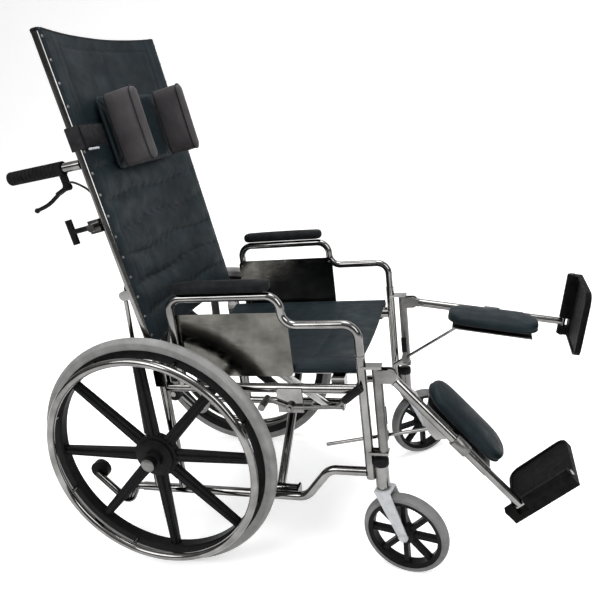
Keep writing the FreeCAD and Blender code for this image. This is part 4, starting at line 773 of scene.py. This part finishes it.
def welt_line(pad, height):
    """The line round a made pad at one height, a little proud of its cover, in metres."""
    points, count, band, proud = pad[0], 180, 0.004, 0.0006
    slice_points = points[np.abs(points[:, 2] - height) < band][:, :2]
    middle = slice_points.mean(axis=0)
    line = []
    for turn in even(0, 2 * math.pi, count):
        toward = np.array((math.cos(turn), math.sin(turn)))
        line.append(slice_points[np.argmax((slice_points - middle) @ toward)])
    line = np.array(line)
    gaps = np.linalg.norm(np.diff(line, axis=0), axis=1)
    along = np.concatenate(([0.0], np.cumsum(gaps)))
    spaced = np.linspace(0, along[-1], count + 1)
    line = np.column_stack([np.interp(spaced, along, line[:, axis]) for axis in (0, 1)])[:-1]
    for smooth in range(6):
        line = (np.roll(line, 1, axis=0) + 2 * line + np.roll(line, -1, axis=0)) / 4
    outward = line - middle
    line = middle + outward * (1 + proud / np.linalg.norm(outward, axis=1, keepdims=True))
    round_points = [Vector((x, y, height)) for x, y in line]
    return round_points + round_points[:1]


calf = stuffed("calf_pad", (0.243, 0.124, 0.042), corner=0.05, edge=0.012, swell=0.009)
calf_welt_height = 0.0125
leg_slopes = {"right": math.radians(49.5), "left": math.radians(9.5)}
pad_down, pad_in, pad_back = 0.2175, 0.0941, 0.0054
plate_edge = 1.4
tongue_out, tongue_in = 86, 40
collar_start = 0.1975
collar_outline = ((11.25, 0), (14.2, 0), (14.6, 0.5), (14.6, 39.5), (14.2, 40), (11.25, 40))
along_leg = Matrix.Translation(Vector((collar_start, 0, 0))) @ Matrix.Rotation(math.radians(90), 4, "Y")
for name, side in sides:
    # the leg's own frame: X down the leg from the knee, Z out of its face
    leg = Matrix.Translation(pivot(f"{name}_leg_raise")) @ Matrix.Rotation(leg_slopes[name], 4, "Y")
    pad_place = leg @ Matrix.Translation(Vector((pad_down, -side * pad_in, -pad_back)))
    pad = place_pad(f"{name}_calf_cushion", calf, pad_place, charcoal)
    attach(pad, f"{name}_calf")
    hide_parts(f"{name}_calf_pad")
    rim = [pad_place @ point for point in welt_line(calf, calf_welt_height)]
    welt = tube_along(f"{name}_calf_welt", rim, 0.002, piping_vinyl)
    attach(welt, f"{name}_calf")
    # the plate under the pad, and its tongue out to the collar
    tray = box_round(f"{name}_calf_tray", (-100, -50, -3.4), (100, 50, -0.2), plate_edge, pad_place, zinc,
                     segments=3)
    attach(tray, f"{name}_calf")
    low_y, high_y = sorted((side * tongue_out, -side * tongue_in))
    tongue = box_round(f"{name}_calf_tongue", (-20, low_y, -3.6), (20, high_y, -0.3), plate_edge, pad_place,
                       zinc, segments=3)
    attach(tongue, f"{name}_calf")
    collar = lathe(f"{name}_calf_collar", collar_outline, leg @ along_leg, zinc)
    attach(collar, f"{name}_calf")


# Arm pads: long moulded foam pads with a tough skin, fixed along the tops of the arm tubes.
# Their edges are rounded, and their undersides are flat.
arm_pad = stuffed("arm_pad", (0.242, 0.048, 0.030), corner=0.018, edge=0.008, swell=0.004)
arm_foam = moulded(
    "arm_pad_foam", (0.005, 0.0055, 0.006), (0.011, 0.0125, 0.0135), 0.5, 0.7, 900, 0.00025, gloss=0.06)
arm_pad_middle, arm_pad_base = 211.5, 694.85
for name, side in sides:
    place = Matrix.Translation(from_axle(arm_pad_middle, side * cane_y, arm_pad_base))
    pad = place_pad(f"{name}_arm_cushion", arm_pad, place, arm_foam)
    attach(pad, f"{name}_arm")
    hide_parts(f"{name}_arm_pad")


# Head support: a webbing strap round the back, a soft pad on it and two stuffed side wings.
# The wings' covers are a warmer grey than the sling, with a welt round each rim.
wing_cover = vinyl("wing_vinyl", (0.034, 0.031, 0.033), (0.060, 0.055, 0.058), 0.04)
webbing = moulded("strap_webbing", (0.008, 0.008, 0.009), (0.02, 0.02, 0.022), 0.7, 0.85, 1500, 0.0003)
wing = stuffed("head_wing", (0.178, 0.044, 0.092), corner=0.015, edge=0.010, swell=0.006)
wing_turn = Matrix.Rotation(math.radians(90), 4, "Y")
wing_out, wing_y, head_along = 21.8, 118, 559
for name, side in sides:
    wing_base = Vector((wing_out, side * wing_y, head_along)) / 1000
    place = back_place @ Matrix.Translation(wing_base) @ wing_turn
    piece = place_pad(f"{name}_head_wing", wing, place, wing_cover)
    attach(piece, "right_cane")
    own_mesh(piece)
    for end, height in (("front", 0.080), ("rear", 0.012)):
        rim = [place @ point for point in welt_line(wing, height)]
        welt = tube_along(f"{name}_wing_welt_{end}", rim, 0.0016, piping_vinyl)
        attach(welt, "right_cane")
        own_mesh(welt)


def sling_bow(y):
    """How far the slack sling comes forward away from its middle, in millimetres."""
    return back_slack * (y / cane_y) ** 2


# the pad is bent to the slack of the sling behind it
head_points, head_faces = stuffed("head_pad", (0.280, 0.178, 0.014), corner=0.020, edge=0.005, swell=0.003)
bent_points = [back_point(1.0 + z + sling_bow(x), x, head_along + y) for x, y, z in head_points * 1000]
head_pad = link_mesh("head_pad_cover", bent_points, [face[::-1] for face in head_faces], charcoal)
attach(head_pad, "right_cane")
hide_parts("head_support")
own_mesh(head_pad)
# the strap runs across the sling, with a loop round each cane and a buckle bar beside it
strap_section = ((-1.8, -25), (0.4, -25), (0.7, 0), (0.4, 25), (-1.8, 25))
strap_rings = [[back_point(sling_bow(y) + x, y, head_along + up) for x, up in strap_section]
               for y in even(-cane_y, cane_y, 60)]
loop_outline = ((15.0, -25), (16.6, -25), (17.0, -24), (17.0, 24), (16.6, 25), (15.0, 25))
bar_outer, bar_inner, bar_along, bar_out = 238, 193, 531, 3.4
for name, side in sides:
    on_cane = back_place @ Matrix.Translation(Vector((0, side * cane_y, head_along)) / 1000)
    loop = lathe(f"{name}_strap_loop", loop_outline, on_cane, webbing)
    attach(loop, f"{name}_cane")
    bar = [back_point(sling_bow(y) + bar_out, side * y, bar_along) for y in even(bar_outer, bar_inner, 50)]
    buckle = tube_along(f"{name}_strap_buckle", bar, 0.0026, silver)
    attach(buckle, f"{name}_cane")
strap = ring_sheet("head_strap", strap_rings, webbing)
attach(strap, "right_cane")
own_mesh(strap)


# Studio: a pale sweep under and behind the chair, and three large soft lamps.
# The world is grey towards the horizon, which gives the chrome its dark reflections.

def pale_floor():
    """White paper, which shows a little brighter to the eye and in reflections than it is lit."""
    material, tree, shader, _ = new_material("pale_floor")
    shader.inputs["Base Color"].default_value = (0.9, 0.9, 0.9, 1)
    shader.inputs["Roughness"].default_value = 0.9
    shader.inputs["Specular IOR Level"].default_value = 0.1
    path = tree.nodes.new("ShaderNodeLightPath")
    white = tree.nodes.new("ShaderNodeEmission")
    white.inputs["Color"].default_value = (1, 1, 1, 1)
    lift = tree.nodes.new("ShaderNodeMath")
    lift.operation = "MULTIPLY"
    lift.inputs[1].default_value = 0.45
    seen = path.outputs["Is Camera Ray"]
    for kind in ("Is Glossy Ray", "Is Transmission Ray"):
        either = tree.nodes.new("ShaderNodeMath")
        either.operation = "MAXIMUM"
        tree.links.new(seen, either.inputs[0])
        tree.links.new(path.outputs[kind], either.inputs[1])
        seen = either.outputs[0]
    tree.links.new(seen, lift.inputs[0])
    tree.links.new(lift.outputs[0], white.inputs["Strength"])
    add = tree.nodes.new("ShaderNodeAddShader")
    tree.links.new(shader.outputs[0], add.inputs[0])
    tree.links.new(white.outputs[0], add.inputs[1])
    tree.links.new(add.outputs[0], tree.nodes["Material Output"].inputs["Surface"])
    return material


sweep_near, sweep_bend, sweep_radius = -4.0, 2.0, 3.5
sweep_half_width, sweep_top, floor_level = 9.0, 9.0, -0.0005
sweep = [(y, floor_level) for y in even(sweep_near, sweep_bend, 12)[:-1]]
for turn in even(0, math.radians(90), 28):
    rise = sweep_radius * (1 - math.cos(turn))
    sweep.append((sweep_bend + sweep_radius * math.sin(turn), floor_level + rise))
sweep.append((sweep_bend + sweep_radius, sweep_top))
sweep_points = [Vector((x, y, z)) for y, z in sweep for x in (-sweep_half_width, sweep_half_width)]
sweep_faces = [(2 * i, 2 * i + 1, 2 * i + 3, 2 * i + 2) for i in range(len(sweep) - 1)]
floor = link_mesh("studio_sweep", sweep_points, sweep_faces, pale_floor())


def lamp(name, place, target, size, power):
    """A soft lamp with its width and height in metres, aimed at a target."""
    light = bpy.data.lights.new(name, "AREA")
    light.shape = "RECTANGLE"
    light.size, light.size_y = size
    light.energy = power
    holder = linked(name, light)
    holder.location = place
    holder.rotation_euler = (Vector(target) - Vector(place)).to_track_quat("-Z", "Y").to_euler()


lamp("key_light", (-1.6, -2.6, 3.0), (0, 0, 0.5), (2.2, 2.2), 80)
lamp("front_light", (2.8, -1.8, 2.2), (0, 0, 0.5), (1.6, 2.2), 55)
lamp("top_light", (0.4, 0.3, 3.8), (0, 0, 0.4), (2.2, 1.8), 95)
world = bpy.data.worlds.new("studio_air")
bpy.context.scene.world = world
world.use_nodes = True
air = world.node_tree.nodes["Background"]
around = world.node_tree.nodes.new("ShaderNodeTexCoord")
height = world.node_tree.nodes.new("ShaderNodeSeparateXYZ")
world.node_tree.links.new(around.outputs["Generated"], height.inputs[0])
shade = world.node_tree.nodes.new("ShaderNodeValToRGB")
for place, grey in ((0.0, 0.30), (0.12, 0.10), (0.45, 0.34), (0.8, 0.75)):
    stop = shade.color_ramp.elements[0] if place == 0 else shade.color_ramp.elements.new(place)
    stop.position = place
    stop.color = (grey, grey, grey, 1)
shade.color_ramp.elements[-1].color = (0.8, 0.8, 0.8, 1)
world.node_tree.links.new(height.outputs["Z"], shade.inputs["Fac"])
world.node_tree.links.new(shade.outputs["Color"], air.inputs["Color"])
air.inputs["Strength"].default_value = 0.9
bpy.context.scene.view_settings.view_transform = "Standard"
